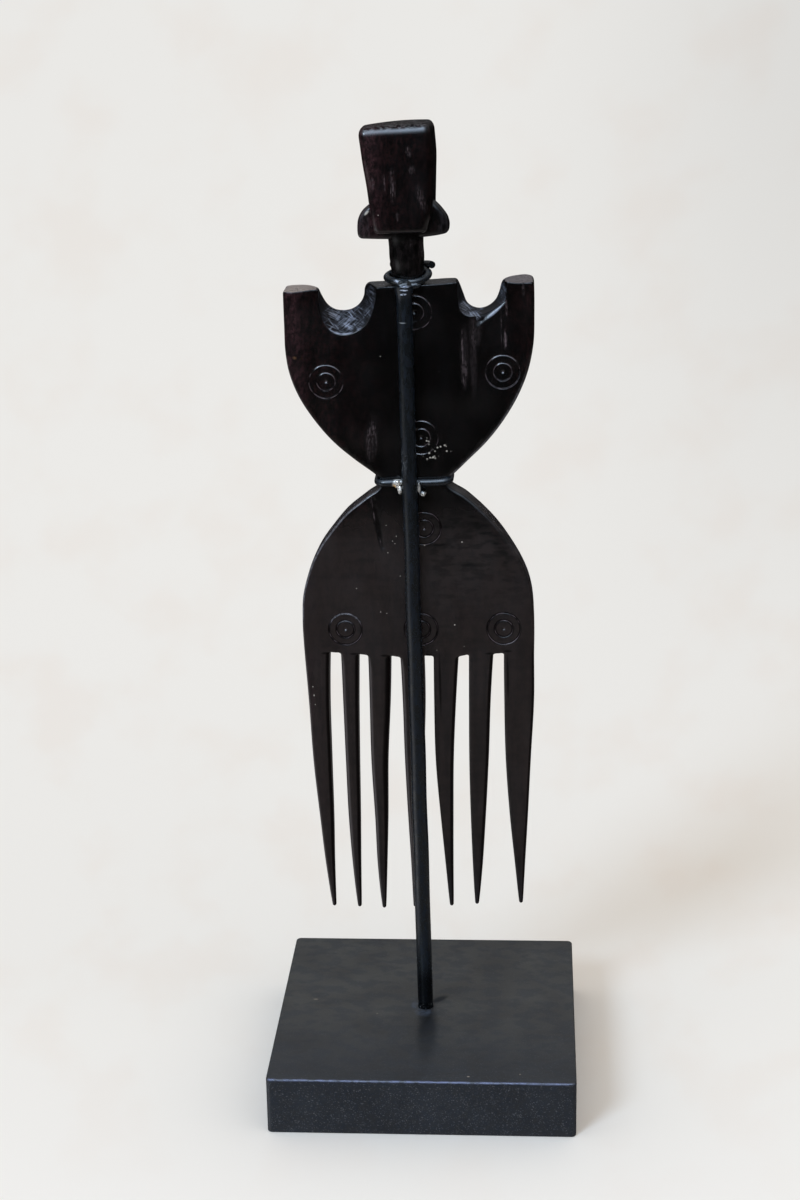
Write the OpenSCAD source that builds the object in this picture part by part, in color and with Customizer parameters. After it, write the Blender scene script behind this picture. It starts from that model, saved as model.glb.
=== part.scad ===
// Carved wooden comb on its stand, in millimetres, +Z up.
// The origin is the centre of the base's underside, and the comb hangs behind the rod, towards +Y.
// Heights of the comb and the rod are counted from the base's top face, before the stand's small lean.

/* [Stand] */
// Side of the square base
base_w = 80; // [70:1:100]
// Height of the base
base_h = 15.5; // [12:0.5:25]
// Width of the bevel on the base's edges
base_bevel = 0.7; // [0.3:0.1:1.5]
// Diameter of the upright rod
rod_d = 3.9; // [3:0.1:4]
// Height of the rod above the base
rod_top = 198.2; // [190:0.1:199]
// Place of the rod's foot across the base
foot_x = -0.5; // [-2:0.1:2]
// Sideways lean of the rod and the comb, in degrees
lean = 0.8; // [0:0.05:2]
// Diameter of the loop wire
wire_d = 1.8; // [1.4:0.1:2]

/* [Comb blade] */
// Thickness of the blade
blade_t = 7.5; // [6:0.1:9]
// Place of the comb's centre line, from the rod's axis
comb_x = 0.9; // [0.5:0.1:1.2]
// Width of the bevel along the blade's edges
edge_bevel = 0.8; // [0.3:0.1:1.2]
// Half width of the shield
shield_half = 31.1; // [29:0.1:33]
// Height at which the shield's sides start to curve in
shield_z = 187.5; // [185:0.5:190]
// Radius of the shield's sides
shield_r = 44; // [42:0.5:48]
// Height of the shield's top edge
shield_top = 197.9; // [196:0.1:198]
// Slope of the shield's top edge, in degrees
shield_slope = 1.6; // [0:0.1:2]
// Half width of the dome
dome_half = 30; // [29.9:0.1:31]
// Height at which the dome's sides start to curve in
dome_z = 110; // [106:0.5:112]
// Radius of the dome's sides
dome_r = 41.6; // [40:0.1:44]
// Half width of the waist
waist_half = 8.1; // [7:0.1:8.5]
// Height of the waist's middle
waist_z = 147.9; // [147:0.1:149]

/* [Comb teeth] */
// Height of the tooth roots
root_z = 101.2; // [98:0.1:104]
// Thickness of a tooth at its root
root_t = 7.2; // [5:0.1:7.4]
// Thickness of a tooth at its tip
tip_t = 1.2; // [0.8:0.1:2]
// Width of a tooth at its tip
tip_w = 1.0; // [0.6:0.1:1.5]

/* [Comb head] */
// Diameter of the neck
neck_d = 8.1; // [7:0.1:8.2]
// Height of the slab's lower edge
slab_z = 212; // [210:0.5:214]
// Height of the slab's top, at its middle
slab_top = 236.5; // [230:0.1:240]
// Depth of the slab
slab_t = 12.4; // [10:0.1:14]
// Radius of the half-round ear plate
ear_r = 11.2; // [10:0.1:13]
// Thickness of the ear plate
ear_t = 6; // [4:0.5:8]

/* [Ring marks] */
// Radius of the outer ring
ring_outer = 4.4; // [3.5:0.1:5]
// Radius of the inner ring
ring_inner = 2.3; // [1.5:0.1:3]
// Width of a cut ring
cut_w = 0.5; // [0.3:0.05:0.8]
// Depth of a cut ring
cut_t = 0.3; // [0.15:0.05:0.5]

/* [Hidden] */
$fn = 96;
gap = 0.1;
rod_r = rod_d / 2;
wire_r = wire_d / 2;
blade_near = rod_r + gap;
blade_mid = blade_near + blade_t / 2;
blade_far = blade_near + blade_t;
neck_r = neck_d / 2;
neck_x = -0.2;
neck_y = blade_near + neck_r + 0.05;
foot_depth = 12;
wood = "#2a1d1b";
steel = "#1d2126";
paint = "#34363a";

// One row a tooth: left and right edge at the root, the same at mid length, tip's place, tip's height.
ROOT_L = 0;
ROOT_R = 1;
MID_L = 2;
MID_R = 3;
TIP_X = 4;
TIP_Z = 5;
teeth = [
    [-29.8, -23.5, -28.0, -24.5, -25.3, 28.2],
    [-20.4, -15.9, -19.9, -17.3, -18.4, 27.9],
    [-13.3, -7.5, -13.1, -9.9, -11.7, 27.5],
    [-4.9, 0.9, -4.2, -1.0, -3.2, 27.8],
    [3.8, 10.2, 4.2, 7.7, 6.7, 28.1],
    [13.0, 19.4, 12.7, 16.5, 13.6, 28.6],
    [22.1, 29.8, 22.8, 27.9, 25.5, 28.9],
];
// Height of the top of each gap between two teeth.
gap_top = [102.5, 102.0, 101.3, 101.5, 101.2, 101.8];

// One row a notch face: centre and radius of the round floor, then the opening's two ends at the top.
notches = [
    // near face, far face
    [[-15.2, 192.8, 6.7, -22.1, -7.7], [-16.8, 196.6, 5.9, -22.9, -10.5]],
    [[17.8, 193.3, 6.1, 11.8, 24.4], [17.9, 195.1, 4.7, 11.9, 25.0]],
];

// Centres of the ring-and-dot marks.
marks = [
    [-21.3, 174.1], [23.0, 175.8], [1.4, 191.2], [2.2, 159.4],
    [2.3, 135.5], [-18.9, 108.5], [0.8, 108.3], [22.2, 108.2],
];

// Lifts a thing that is drawn upright above the base onto the leaning stand.
module on_stand() {
    translate([foot_x, 0, base_h]) rotate([0, -lean, 0]) children();
}

// A disc across Y with bevelled rims, centred on the blade's middle plane.
module bevelled_disc(r, t, bevel) {
    rotate([90, 0, 0]) rotate_extrude()
        polygon([
            [0, -t / 2], [r - bevel, -t / 2], [r, -t / 2 + bevel],
            [r, t / 2 - bevel], [r - bevel, t / 2], [0, t / 2],
        ]);
}

// An upright slab with bevelled upright edges, from height z0 to z1.
module bevelled_slab(half, t, bevel, z0, z1) {
    translate([0, 0, z0]) linear_extrude(height = z1 - z0)
        polygon([
            [-half, -t / 2 + bevel], [-half + bevel, -t / 2], [half - bevel, -t / 2], [half, -t / 2 + bevel],
            [half, t / 2 - bevel], [half - bevel, t / 2], [-half + bevel, t / 2], [-half, t / 2 - bevel],
        ]);
}

// The pointed arch between two discs, above or below height z0.
module arch(half, r, z0, up) {
    reach = r - half;
    intersection() {
        translate([-reach, 0, z0]) bevelled_disc(r, blade_t, edge_bevel);
        translate([reach, 0, z0]) bevelled_disc(r, blade_t, edge_bevel);
        translate([-r, -blade_t, up ? z0 : z0 - r]) cube([2 * r, 2 * blade_t, r]);
    }
}

// Upper body: straight sides, then arcs down to the waist, with a sloping top.
module shield() {
    difference() {
        translate([0, blade_mid, 0]) union() {
            arch(shield_half, shield_r, shield_z, false);
            bevelled_slab(shield_half, blade_t, edge_bevel, shield_z, shield_top + 2);
        }
        translate([0, 0, shield_top]) rotate([0, -shield_slope, 0])
            translate([-50, -10, 0]) cube([100, 40, 20]);
    }
}

// Lower body: an arch on straight sides down to the tooth roots.
module dome() {
    translate([0, blade_mid, 0]) {
        arch(dome_half, dome_r, dome_z, true);
        bevelled_slab(dome_half, blade_t, edge_bevel, root_z, dome_z);
    }
}

module waist() {
    translate([0, blade_mid, 0])
        bevelled_slab(waist_half, blade_t, edge_bevel, waist_z - 5, waist_z + 5);
}

// One notch, scooped from a deep near edge up to a shallow far edge.
module notch(faces) {
    places = [blade_near - 0.01, blade_far + 0.01];
    hull() for (i = [0, 1]) {
        face = faces[i];
        translate([face[0], places[i], face[1]]) rotate([90, 0, 0])
            cylinder(r = face[2], h = 0.02, center = true, $fn = 64);
        translate([face[3], places[i] - 0.01, shield_top + 3]) cube([face[4] - face[3], 0.02, 0.1]);
    }
}

// Value at t along a smooth edge through its root, its point at 0.6 and its tip.
function edge_at(t, root, mid, tip) =
    root * (t - 0.6) * (t - 1) / 0.6 + mid * t * (1 - t) / 0.24 + tip * t * (t - 0.6) / 0.4;

// Eight corners of a tooth's bevelled section at t of its length.
function tooth_ring(row, t) =
    let (
        left = edge_at(t, row[ROOT_L], row[MID_L], row[TIP_X] - tip_w / 2),
        right = edge_at(t, row[ROOT_R], row[MID_R], row[TIP_X] + tip_w / 2),
        half = (root_t + (tip_t - root_t) * pow(t, 1.6)) / 2,
        bevel = 0.25 * min(right - left, 2 * half),
        z = root_z + (row[TIP_Z] - root_z) * t
    )
    [
        [left + bevel, blade_mid - half, z], [right - bevel, blade_mid - half, z],
        [right, blade_mid - half + bevel, z], [right, blade_mid + half - bevel, z],
        [right - bevel, blade_mid + half, z], [left + bevel, blade_mid + half, z],
        [left, blade_mid + half - bevel, z], [left, blade_mid - half + bevel, z],
    ];

// One tooth: its sections from inside the dome to just above the tip, and a small blunt end.
module tooth(row) {
    steps = [0, 0.15, 0.3, 0.45, 0.6, 0.72, 0.84, 0.94, 1];
    last = tooth_ring(row, 1);
    middle = [row[TIP_X], blade_mid, row[TIP_Z]];
    raised = [for (p = tooth_ring(row, 0)) p + [0, 0, 3]];
    blunt = [for (p = last) [middle[0], middle[1], middle[2] - 0.5] + (p - middle) * 0.5];
    rings = concat([raised], [for (t = steps) tooth_ring(row, t)], [blunt]);
    count = len(rings);
    sides = len(last);
    points = [for (ring = rings) each ring];
    walls = [
        for (i = [0 : count - 2], k = [0 : sides - 1])
            let (n = (k + 1) % sides)
            each [
                [i * sides + k, i * sides + n, (i + 1) * sides + n],
                [i * sides + k, (i + 1) * sides + n, (i + 1) * sides + k],
            ]
    ];
    top = [for (k = [sides - 1 : -1 : 0]) k];
    bottom = [for (k = [0 : sides - 1]) (count - 1) * sides + k];
    polyhedron(points = points, faces = concat(walls, [top, bottom]));
}

// Raises the top of each gap to its own height.
module gap_cuts() {
    for (i = [0 : len(gap_top) - 1])
        if (gap_top[i] > root_z)
            translate([teeth[i][ROOT_R] - 0.3, blade_near - 1, root_z - 1])
                cube([teeth[i + 1][ROOT_L] - teeth[i][ROOT_R] + 0.6, blade_t + 2, gap_top[i] - root_z + 1]);
}

// A ring-and-dot mark: two V cuts and a conical dot, round Z and below z = 0.
module mark_cut() {
    for (r = [ring_inner, ring_outer])
        rotate_extrude() polygon([[r - cut_w / 2, 0.05], [r + cut_w / 2, 0.05], [r, -cut_t]]);
    translate([0, 0, -cut_t]) cylinder(r1 = 0.1, r2 = cut_w, h = cut_t + 0.05);
}

module marks_on_both_faces() {
    for (place = marks) {
        translate([place[0], blade_near, place[1]]) rotate([90, 0, 0]) mark_cut();
        translate([place[0], blade_far, place[1]]) rotate([-90, 0, 0]) mark_cut();
    }
}

// Head slab: its outline from the front, cut to its side outline, with a top that rises to the far right.
module slab() {
    y0 = neck_y - slab_t / 2;
    difference() {
        intersection() {
            translate([0, y0 + slab_t, 0]) rotate([90, 0, 0]) linear_extrude(height = slab_t)
                polygon([
                    [-8.1, slab_z], [6.0, slab_z], [6.9, 218], [7.6, 229], [7.3, slab_top - 1],
                    [6.4, slab_top + 0.6], [6.4, slab_top + 4], [-9.9, slab_top + 4],
                    [-9.9, slab_top - 0.8], [-10.5, slab_top - 2],
                ]);
            translate([-20, y0, 0]) rotate([90, 0, 90]) linear_extrude(height = 40)
                polygon([
                    [0.8, slab_z], [slab_t - 0.8, slab_z], [slab_t, slab_z + 0.8], [slab_t, slab_top + 4],
                    [1.5, slab_top + 4], [1.5, slab_top - 0.9], [0.5, slab_top - 1.5],
                    [0, slab_top - 2.6], [0, slab_z + 0.8],
                ]);
        }
        translate([0, neck_y, slab_top]) rotate([4, -3, 0]) translate([-20, -20, 0]) cube([40, 40, 10]);
    }
}

// Half-round plate behind the slab's foot, with a lower edge that rises a little to the right.
module ear_plate() {
    z0 = slab_z - 1.6;
    intersection() {
        translate([-1, neck_y + 0.4, z0]) bevelled_disc(ear_r, ear_t, 1);
        translate([-14, 0, z0 - 1]) rotate([0, -1.5, 0]) cube([30, 20, 20]);
    }
}

module neck() {
    translate([neck_x, neck_y, shield_top - 1.5]) cylinder(r = neck_r, h = slab_z - shield_top + 3.5);
}

module comb() {
    color(wood) on_stand() translate([comb_x, 0, 0]) {
        difference() {
            union() {
                difference() {
                    union() {
                        shield();
                        waist();
                        dome();
                    }
                    for (faces = notches) notch(faces);
                    gap_cuts();
                }
                for (row = teeth) tooth(row);
            }
            marks_on_both_faces();
        }
        neck();
        ear_plate();
        slab();
    }
}

// A straight piece of loop wire between two points in one level plane.
module wire(from, to) {
    run = to - from;
    translate(from) rotate([0, 90, atan2(run[1], run[0])]) cylinder(r = wire_r, h = norm(run));
}

// A bend of loop wire: a quarter of a ring.
module wire_bend(r, turn) {
    rotate([0, 0, turn]) rotate_extrude(angle = 90) translate([r, 0]) circle(r = wire_r);
}

// Loop round the waist: straight runs and four tight bends, level, through the rod's sides.
module waist_loop() {
    bend = 2.2;
    half_x = waist_half + 2 * gap + wire_r;
    half_y = blade_t / 2 + gap + wire_r;
    translate([comb_x, blade_mid, waist_z]) {
        for (i = [0 : 3])
            translate([(i == 1 || i == 2 ? -1 : 1) * (half_x - bend), (i > 1 ? -1 : 1) * (half_y - bend), 0])
                wire_bend(bend, 90 * i);
        for (side = [-1, 1]) {
            wire([-half_x + bend, side * half_y, 0], [half_x - bend, side * half_y, 0]);
            wire([side * half_x, -half_y + bend, 0], [side * half_x, half_y - bend, 0]);
        }
    }
}

// Loop round the neck: a ring that rises to the back and right, and its two ends crossed behind.
module neck_loop() {
    loop_r = neck_r + 2.5 * gap + wire_r;
    rise = 13;
    front_z = shield_top + 2 * gap + wire_r;
    translate([comb_x + neck_x + gap, neck_y, front_z + loop_r * sin(rise)]) rotate([rise, -3, 0])
        rotate_extrude() translate([loop_r, 0]) circle(r = wire_r);
    translate([comb_x + neck_x + gap, neck_y, front_z + 2.9]) {
        rotate([0, 0, 14]) rotate_extrude(angle = 80) translate([loop_r + 0.9, 0]) circle(r = wire_r);
        rotate([0, 0, 90]) rotate_extrude(angle = 56) translate([loop_r + 0.1, 0]) circle(r = wire_r);
    }
}

// Weld beads at the rod's top and on its sides at the waist loop, and the bead round its foot.
module weld_beads() {
    beads = [[0, 0, rod_top, 1.85], [-2.5, 0.3, waist_z - 0.3, 1.1], [2.4, 0.4, waist_z - 0.5, 1.0],
             [2.3, 0.3, waist_z - 1.9, 0.7]];
    for (bead = beads) translate([bead[0], bead[1], bead[2]]) sphere(r = bead[3]);
    translate([0, 0, gap]) cylinder(r1 = rod_r + 0.7, r2 = rod_r, h = 0.9);
}

module rod() {
    translate([0, 0, -foot_depth + gap]) cylinder(r = rod_r, h = rod_top + foot_depth - gap);
}

module stand_holder() {
    color(steel) on_stand() {
        rod();
        waist_loop();
        neck_loop();
        weld_beads();
    }
}

module stand_base() {
    color(paint) difference() {
        translate([-base_w / 2, -base_w / 2, 0]) cube([base_w, base_w, base_h]);
        for (turn = [0 : 90 : 270]) rotate([0, 0, turn]) {
            translate([base_w / 2, 0, base_h]) rotate([0, 45, 0])
                cube([base_bevel * sqrt(2), base_w + 2, base_bevel * sqrt(2)], center = true);
            translate([base_w / 2, base_w / 2, base_h / 2]) rotate([0, 0, 45])
                cube([base_bevel * sqrt(2), base_bevel * sqrt(2), base_h + 2], center = true);
        }
        on_stand() translate([0, 0, -foot_depth]) cylinder(r = rod_r + gap, h = foot_depth + 3);
    }
}

comb();
stand_holder();
stand_base();
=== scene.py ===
"""Carved wooden comb hanging in two wire loops on a black stand, dressed after a photograph."""
import logging
import math
from dataclasses import dataclass, field
from enum import Enum

import bpy
import numpy as np
from mathutils import Matrix, Vector
from mathutils.geometry import delaunay_2d_cdt


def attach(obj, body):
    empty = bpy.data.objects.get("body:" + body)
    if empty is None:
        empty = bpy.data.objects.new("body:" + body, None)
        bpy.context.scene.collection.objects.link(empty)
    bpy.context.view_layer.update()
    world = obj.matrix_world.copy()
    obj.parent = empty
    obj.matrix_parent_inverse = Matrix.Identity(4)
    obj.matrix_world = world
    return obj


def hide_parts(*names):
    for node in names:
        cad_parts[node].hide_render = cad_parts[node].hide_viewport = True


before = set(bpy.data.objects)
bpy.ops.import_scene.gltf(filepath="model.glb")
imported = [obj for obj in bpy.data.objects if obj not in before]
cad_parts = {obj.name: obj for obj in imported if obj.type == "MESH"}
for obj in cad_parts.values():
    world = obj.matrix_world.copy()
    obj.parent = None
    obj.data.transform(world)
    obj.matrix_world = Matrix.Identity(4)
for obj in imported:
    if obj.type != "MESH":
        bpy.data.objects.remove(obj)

log = logging.getLogger("scene")
MM = 0.001
Knots = tuple[tuple[float, float], ...]
Patch = tuple[float, ...]
Patches = tuple[Patch, ...]
Sizes = tuple[float, float, float]


class Slot(Enum):
    """The record's material slots."""

    WOOD = "comb_wood"
    STEEL = "holder_steel"
    PAINT = "base_paint"


@dataclass(frozen=True)
class StandFrame:
    """Where the leaning stand carries the rod and the comb, in millimetres."""

    base_h: float = 15.5
    foot_x: float = -0.5
    lean: float = 0.8
    comb_x: float = 0.9

    def carry(self, points: np.ndarray, across: float = 0.0) -> np.ndarray:
        """Points given upright above the base, moved onto the leaning stand, in metres.

        Args:
            points: rows of x, y, z in millimetres, from the rod's foot.
            across: how far the points' own axis stands to the right of the rod's.

        Returns:
            The points in the row frame.
        """
        c, s = math.cos(math.radians(self.lean)), math.sin(math.radians(self.lean))
        x, z = points[..., 0] + across, points[..., 2]
        return np.stack([c * x - s * z + self.foot_x, points[..., 1], s * x + c * z + self.base_h], -1) * MM


STAND = StandFrame()


def ease(value: np.ndarray, low: float, high: float) -> np.ndarray:
    """Smooth step from 0 at low to 1 at high."""
    t = np.clip((value - low) / (high - low), 0.0, 1.0)
    return t * t * (3.0 - 2.0 * t)


def arc_lengths(line: np.ndarray) -> np.ndarray:
    """Length walked along a line up to each of its points."""
    return np.concatenate([[0.0], np.cumsum(np.linalg.norm(np.diff(line, axis=0), axis=1))])


def dense_curve(knots: Knots | np.ndarray, steps: int = 24) -> np.ndarray:
    """A fine line through the knots.

    Cubic pieces between neighbouring knots, whose slopes are second-order differences over the distance
    between knots, so uneven knots give no loops.

    Args:
        knots: the points to pass through, in two or three dimensions.
        steps: fine points to each pair of knots.

    Returns:
        The fine points in order.
    """
    p = np.asarray(knots, float)
    if len(p) < 3:
        return p[0] + (p[-1] - p[0]) * np.linspace(0.0, 1.0, steps)[:, None]
    t = arc_lengths(p)
    slope = np.gradient(p, t, axis=0, edge_order=2)
    u = np.linspace(0.0, t[-1], steps * len(p))
    i = np.clip(np.searchsorted(t, u, side="right") - 1, 0, len(p) - 2)
    h = (t[i + 1] - t[i])[:, None]
    s = (u - t[i])[:, None] / h
    return (
        (2 * s**3 - 3 * s**2 + 1) * p[i] + (s**3 - 2 * s**2 + s) * h * slope[i]
        + (3 * s**2 - 2 * s**3) * p[i + 1] + (s**3 - s**2) * h * slope[i + 1]
    )


def walk(line: np.ndarray, start: float, stop: float, count: int) -> np.ndarray:
    """Evenly spaced points on a line, from start past its beginning to stop before its end."""
    run = arc_lengths(line)
    at = np.linspace(start, run[-1] - stop, count)
    return np.stack([np.interp(at, run, line[:, k]) for k in range(line.shape[1])], -1)


def waves(points: np.ndarray, size: float, count: int, seed: int) -> np.ndarray:
    """Gentle uneven swell: a sum of sine waves of random heading and phase, from about -1 to 1.

    Args:
        points: rows of coordinates in millimetres.
        size: the middle wavelength in millimetres.
        count: how many waves are summed.
        seed: start of the random row.

    Returns:
        One value a point.
    """
    rng = np.random.default_rng(seed)
    heading = rng.normal(size=(count, points.shape[-1]))
    heading /= np.linalg.norm(heading, axis=1, keepdims=True)
    heading *= 2 * np.pi / (size * rng.uniform(0.6, 1.6, (count, 1)))
    return np.sin(points @ heading.T + rng.uniform(0, 2 * np.pi, count)).sum(-1) / math.sqrt(count)


def distance_to_line(points: np.ndarray, line: np.ndarray) -> np.ndarray:
    """Distance of each point to an open line of straight pieces.

    Each point is dropped square onto every piece, held within its ends, and the shortest way counts.

    Args:
        points: rows of x, z.
        line: the line's points in order.

    Returns:
        One distance a point.
    """
    a, b = line[:-1], line[1:]
    along = b - a
    t = ((points[:, None] - a) * along).sum(-1) / (along**2).sum(-1)
    foot = a + np.clip(t, 0.0, 1.0)[..., None] * along
    return np.linalg.norm(points[:, None] - foot, axis=-1).min(1)


def inside(points: np.ndarray, loop: np.ndarray, margin: float) -> np.ndarray:
    """Which points lie inside a closed loop and further than a margin from its corners.

    Crossings of a level ray from each point are counted, and an odd number is inside.

    Args:
        points: rows of x, z.
        loop: the loop's corners in order.
        margin: the least distance from a corner.

    Returns:
        True for each point that is kept.
    """
    kept, batch = np.zeros(len(points), bool), 4000
    a, b = loop, np.roll(loop, -1, 0)
    for start in range(0, len(points), batch):
        p = points[start:start + batch, None]
        spans = (a[:, 1] > p[..., 1]) != (b[:, 1] > p[..., 1])
        rise = np.where(b[:, 1] == a[:, 1], 1.0, b[:, 1] - a[:, 1])
        cross = a[:, 0] + (p[..., 1] - a[:, 1]) * (b[:, 0] - a[:, 0]) / rise
        odd = (spans & (p[..., 0] < cross)).sum(1) % 2 == 1
        near = ((p - a) ** 2).sum(-1).min(1)
        kept[start:start + batch] = odd & (near > margin**2)
    return kept


def hex_grid(low: np.ndarray, high: np.ndarray, pitch: float) -> np.ndarray:
    """Points of a grid of equal triangles over a box: level rows, every other one moved by half a pitch.

    Args:
        low: the box's least x and z.
        high: its greatest.
        pitch: the side of a triangle.

    Returns:
        Rows of x, z.
    """
    step = pitch * math.sqrt(3) / 2
    z, x = np.meshgrid(np.arange(low[1], high[1], step), np.arange(low[0], high[0], pitch), indexing="ij")
    return np.stack([(x + (np.arange(len(x)) % 2)[:, None] * pitch / 2).ravel(), z.ravel()], -1)


class Shell:
    """Vertices and faces of one closed surface, gathered block by block."""

    def __init__(self) -> None:
        """Starts with no points and no faces."""
        self.points: list[np.ndarray] = []
        self.faces: list[list[int]] = []
        self.count = 0

    def add(self, points: np.ndarray) -> np.ndarray:
        """Adds points.

        Args:
            points: x, y, z on a grid of any shape.

        Returns:
            The points' indices in the same shape.
        """
        flat = points.reshape(-1, 3)
        self.points.append(flat)
        self.count += len(flat)
        return np.arange(self.count - len(flat), self.count).reshape(points.shape[:-1])

    def band(self, index: np.ndarray) -> None:
        """Four-sided faces over a grid of indices whose columns close round on themselves.

        Args:
            index: indices as rings by columns.
        """
        nxt = np.roll(index, -1, axis=1)
        quads = np.stack([index[:-1], nxt[:-1], nxt[1:], index[1:]], -1)
        self.faces.extend(quads.reshape(-1, 4).tolist())

    def ends(self, index: np.ndarray, first: np.ndarray | None, last: np.ndarray | None) -> None:
        """Closes a band's first and last ring with triangles to one point each, where one is given.

        Args:
            index: the band's indices.
            first: the point that closes the first ring.
            last: the point that closes the last ring.
        """
        for ring, centre in ((np.roll(index[0, ::-1], 1), first), (index[-1], last)):
            if centre is not None:
                tip = int(self.add(np.asarray(centre)[None])[0])
                self.faces.extend(np.stack([ring, np.roll(ring, -1), np.full(len(ring), tip)], -1).tolist())

    def object(self, name: str, across: float | None = None) -> bpy.types.Object:
        """The surface as an object with its faces turned outwards.

        Args:
            name: the object's name.
            across: where given, the points are upright above the base and the stand carries them.

        Returns:
            The linked object, at the origin.
        """
        points = np.concatenate(self.points)
        points = points * MM if across is None else STAND.carry(points, across)
        mesh = bpy.data.meshes.new(name)
        mesh.from_pydata(points, [], self.faces)
        mesh.validate()
        mesh.calc_loop_triangles()
        corners = np.empty(len(mesh.loop_triangles) * 3, np.int32)
        mesh.loop_triangles.foreach_get("vertices", corners)
        a, b, c = points[corners.reshape(-1, 3)].transpose(1, 0, 2)
        if (a * np.cross(b, c)).sum() < 0:
            mesh.flip_normals()
        made = bpy.data.objects.new(name, mesh)
        bpy.context.scene.collection.objects.link(made)
        return made


def combine(body: bpy.types.Object, others: list[bpy.types.Object], operation: str) -> bpy.types.Object:
    """Joins or cuts a body with other closed objects and removes them.

    Args:
        body: the object that stays.
        others: the objects that are joined to it or cut from it.
        operation: UNION or DIFFERENCE.

    Returns:
        The body with its new mesh and no modifier left on it.
    """
    for other in others:
        cut = body.modifiers.new("cut", "BOOLEAN")
        cut.operation, cut.object, cut.solver = operation, other, "MANIFOLD"
        other.hide_render = True
    held = bpy.context.evaluated_depsgraph_get()
    mesh = bpy.data.meshes.new_from_object(body.evaluated_get(held))
    old = body.data
    body.modifiers.clear()
    body.data = mesh
    mesh.name = body.name
    bpy.data.meshes.remove(old)
    for other in others:
        bpy.data.objects.remove(other)
    return body


def smooth(piece: bpy.types.Object, sharp: float) -> None:
    """Shades a piece smooth, apart from edges that turn by more than an angle in degrees."""
    piece.data.polygons.foreach_set("use_smooth", np.ones(len(piece.data.polygons), bool))
    piece.data.set_sharp_from_angle(angle=math.radians(sharp))


def put_in_place(piece: bpy.types.Object, node: str, material: bpy.types.Material) -> None:
    """Gives a piece its material and lets it stand for its CAD node.

    Args:
        piece: the finished piece.
        node: the CAD node that it replaces.
        material: the finish.
    """
    piece.data.materials.clear()
    piece.data.materials.append(material)
    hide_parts(node)
    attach(piece, "root")
    log.info("%s: %d faces, material %s", piece.name, len(piece.data.polygons), material.name)


def linear(hex_colour: str) -> tuple[float, float, float, float]:
    """An sRGB hex colour as linear light.

    Args:
        hex_colour: a hash and six digits.

    Returns:
        Red, green, blue and a full alpha.
    """
    value = np.array([int(hex_colour[i:i + 2], 16) for i in (1, 3, 5)]) / 255.0
    value = np.where(value <= 0.04045, value / 12.92, ((value + 0.055) / 1.055) ** 2.4)
    return (*(float(v) for v in value), 1.0)


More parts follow.
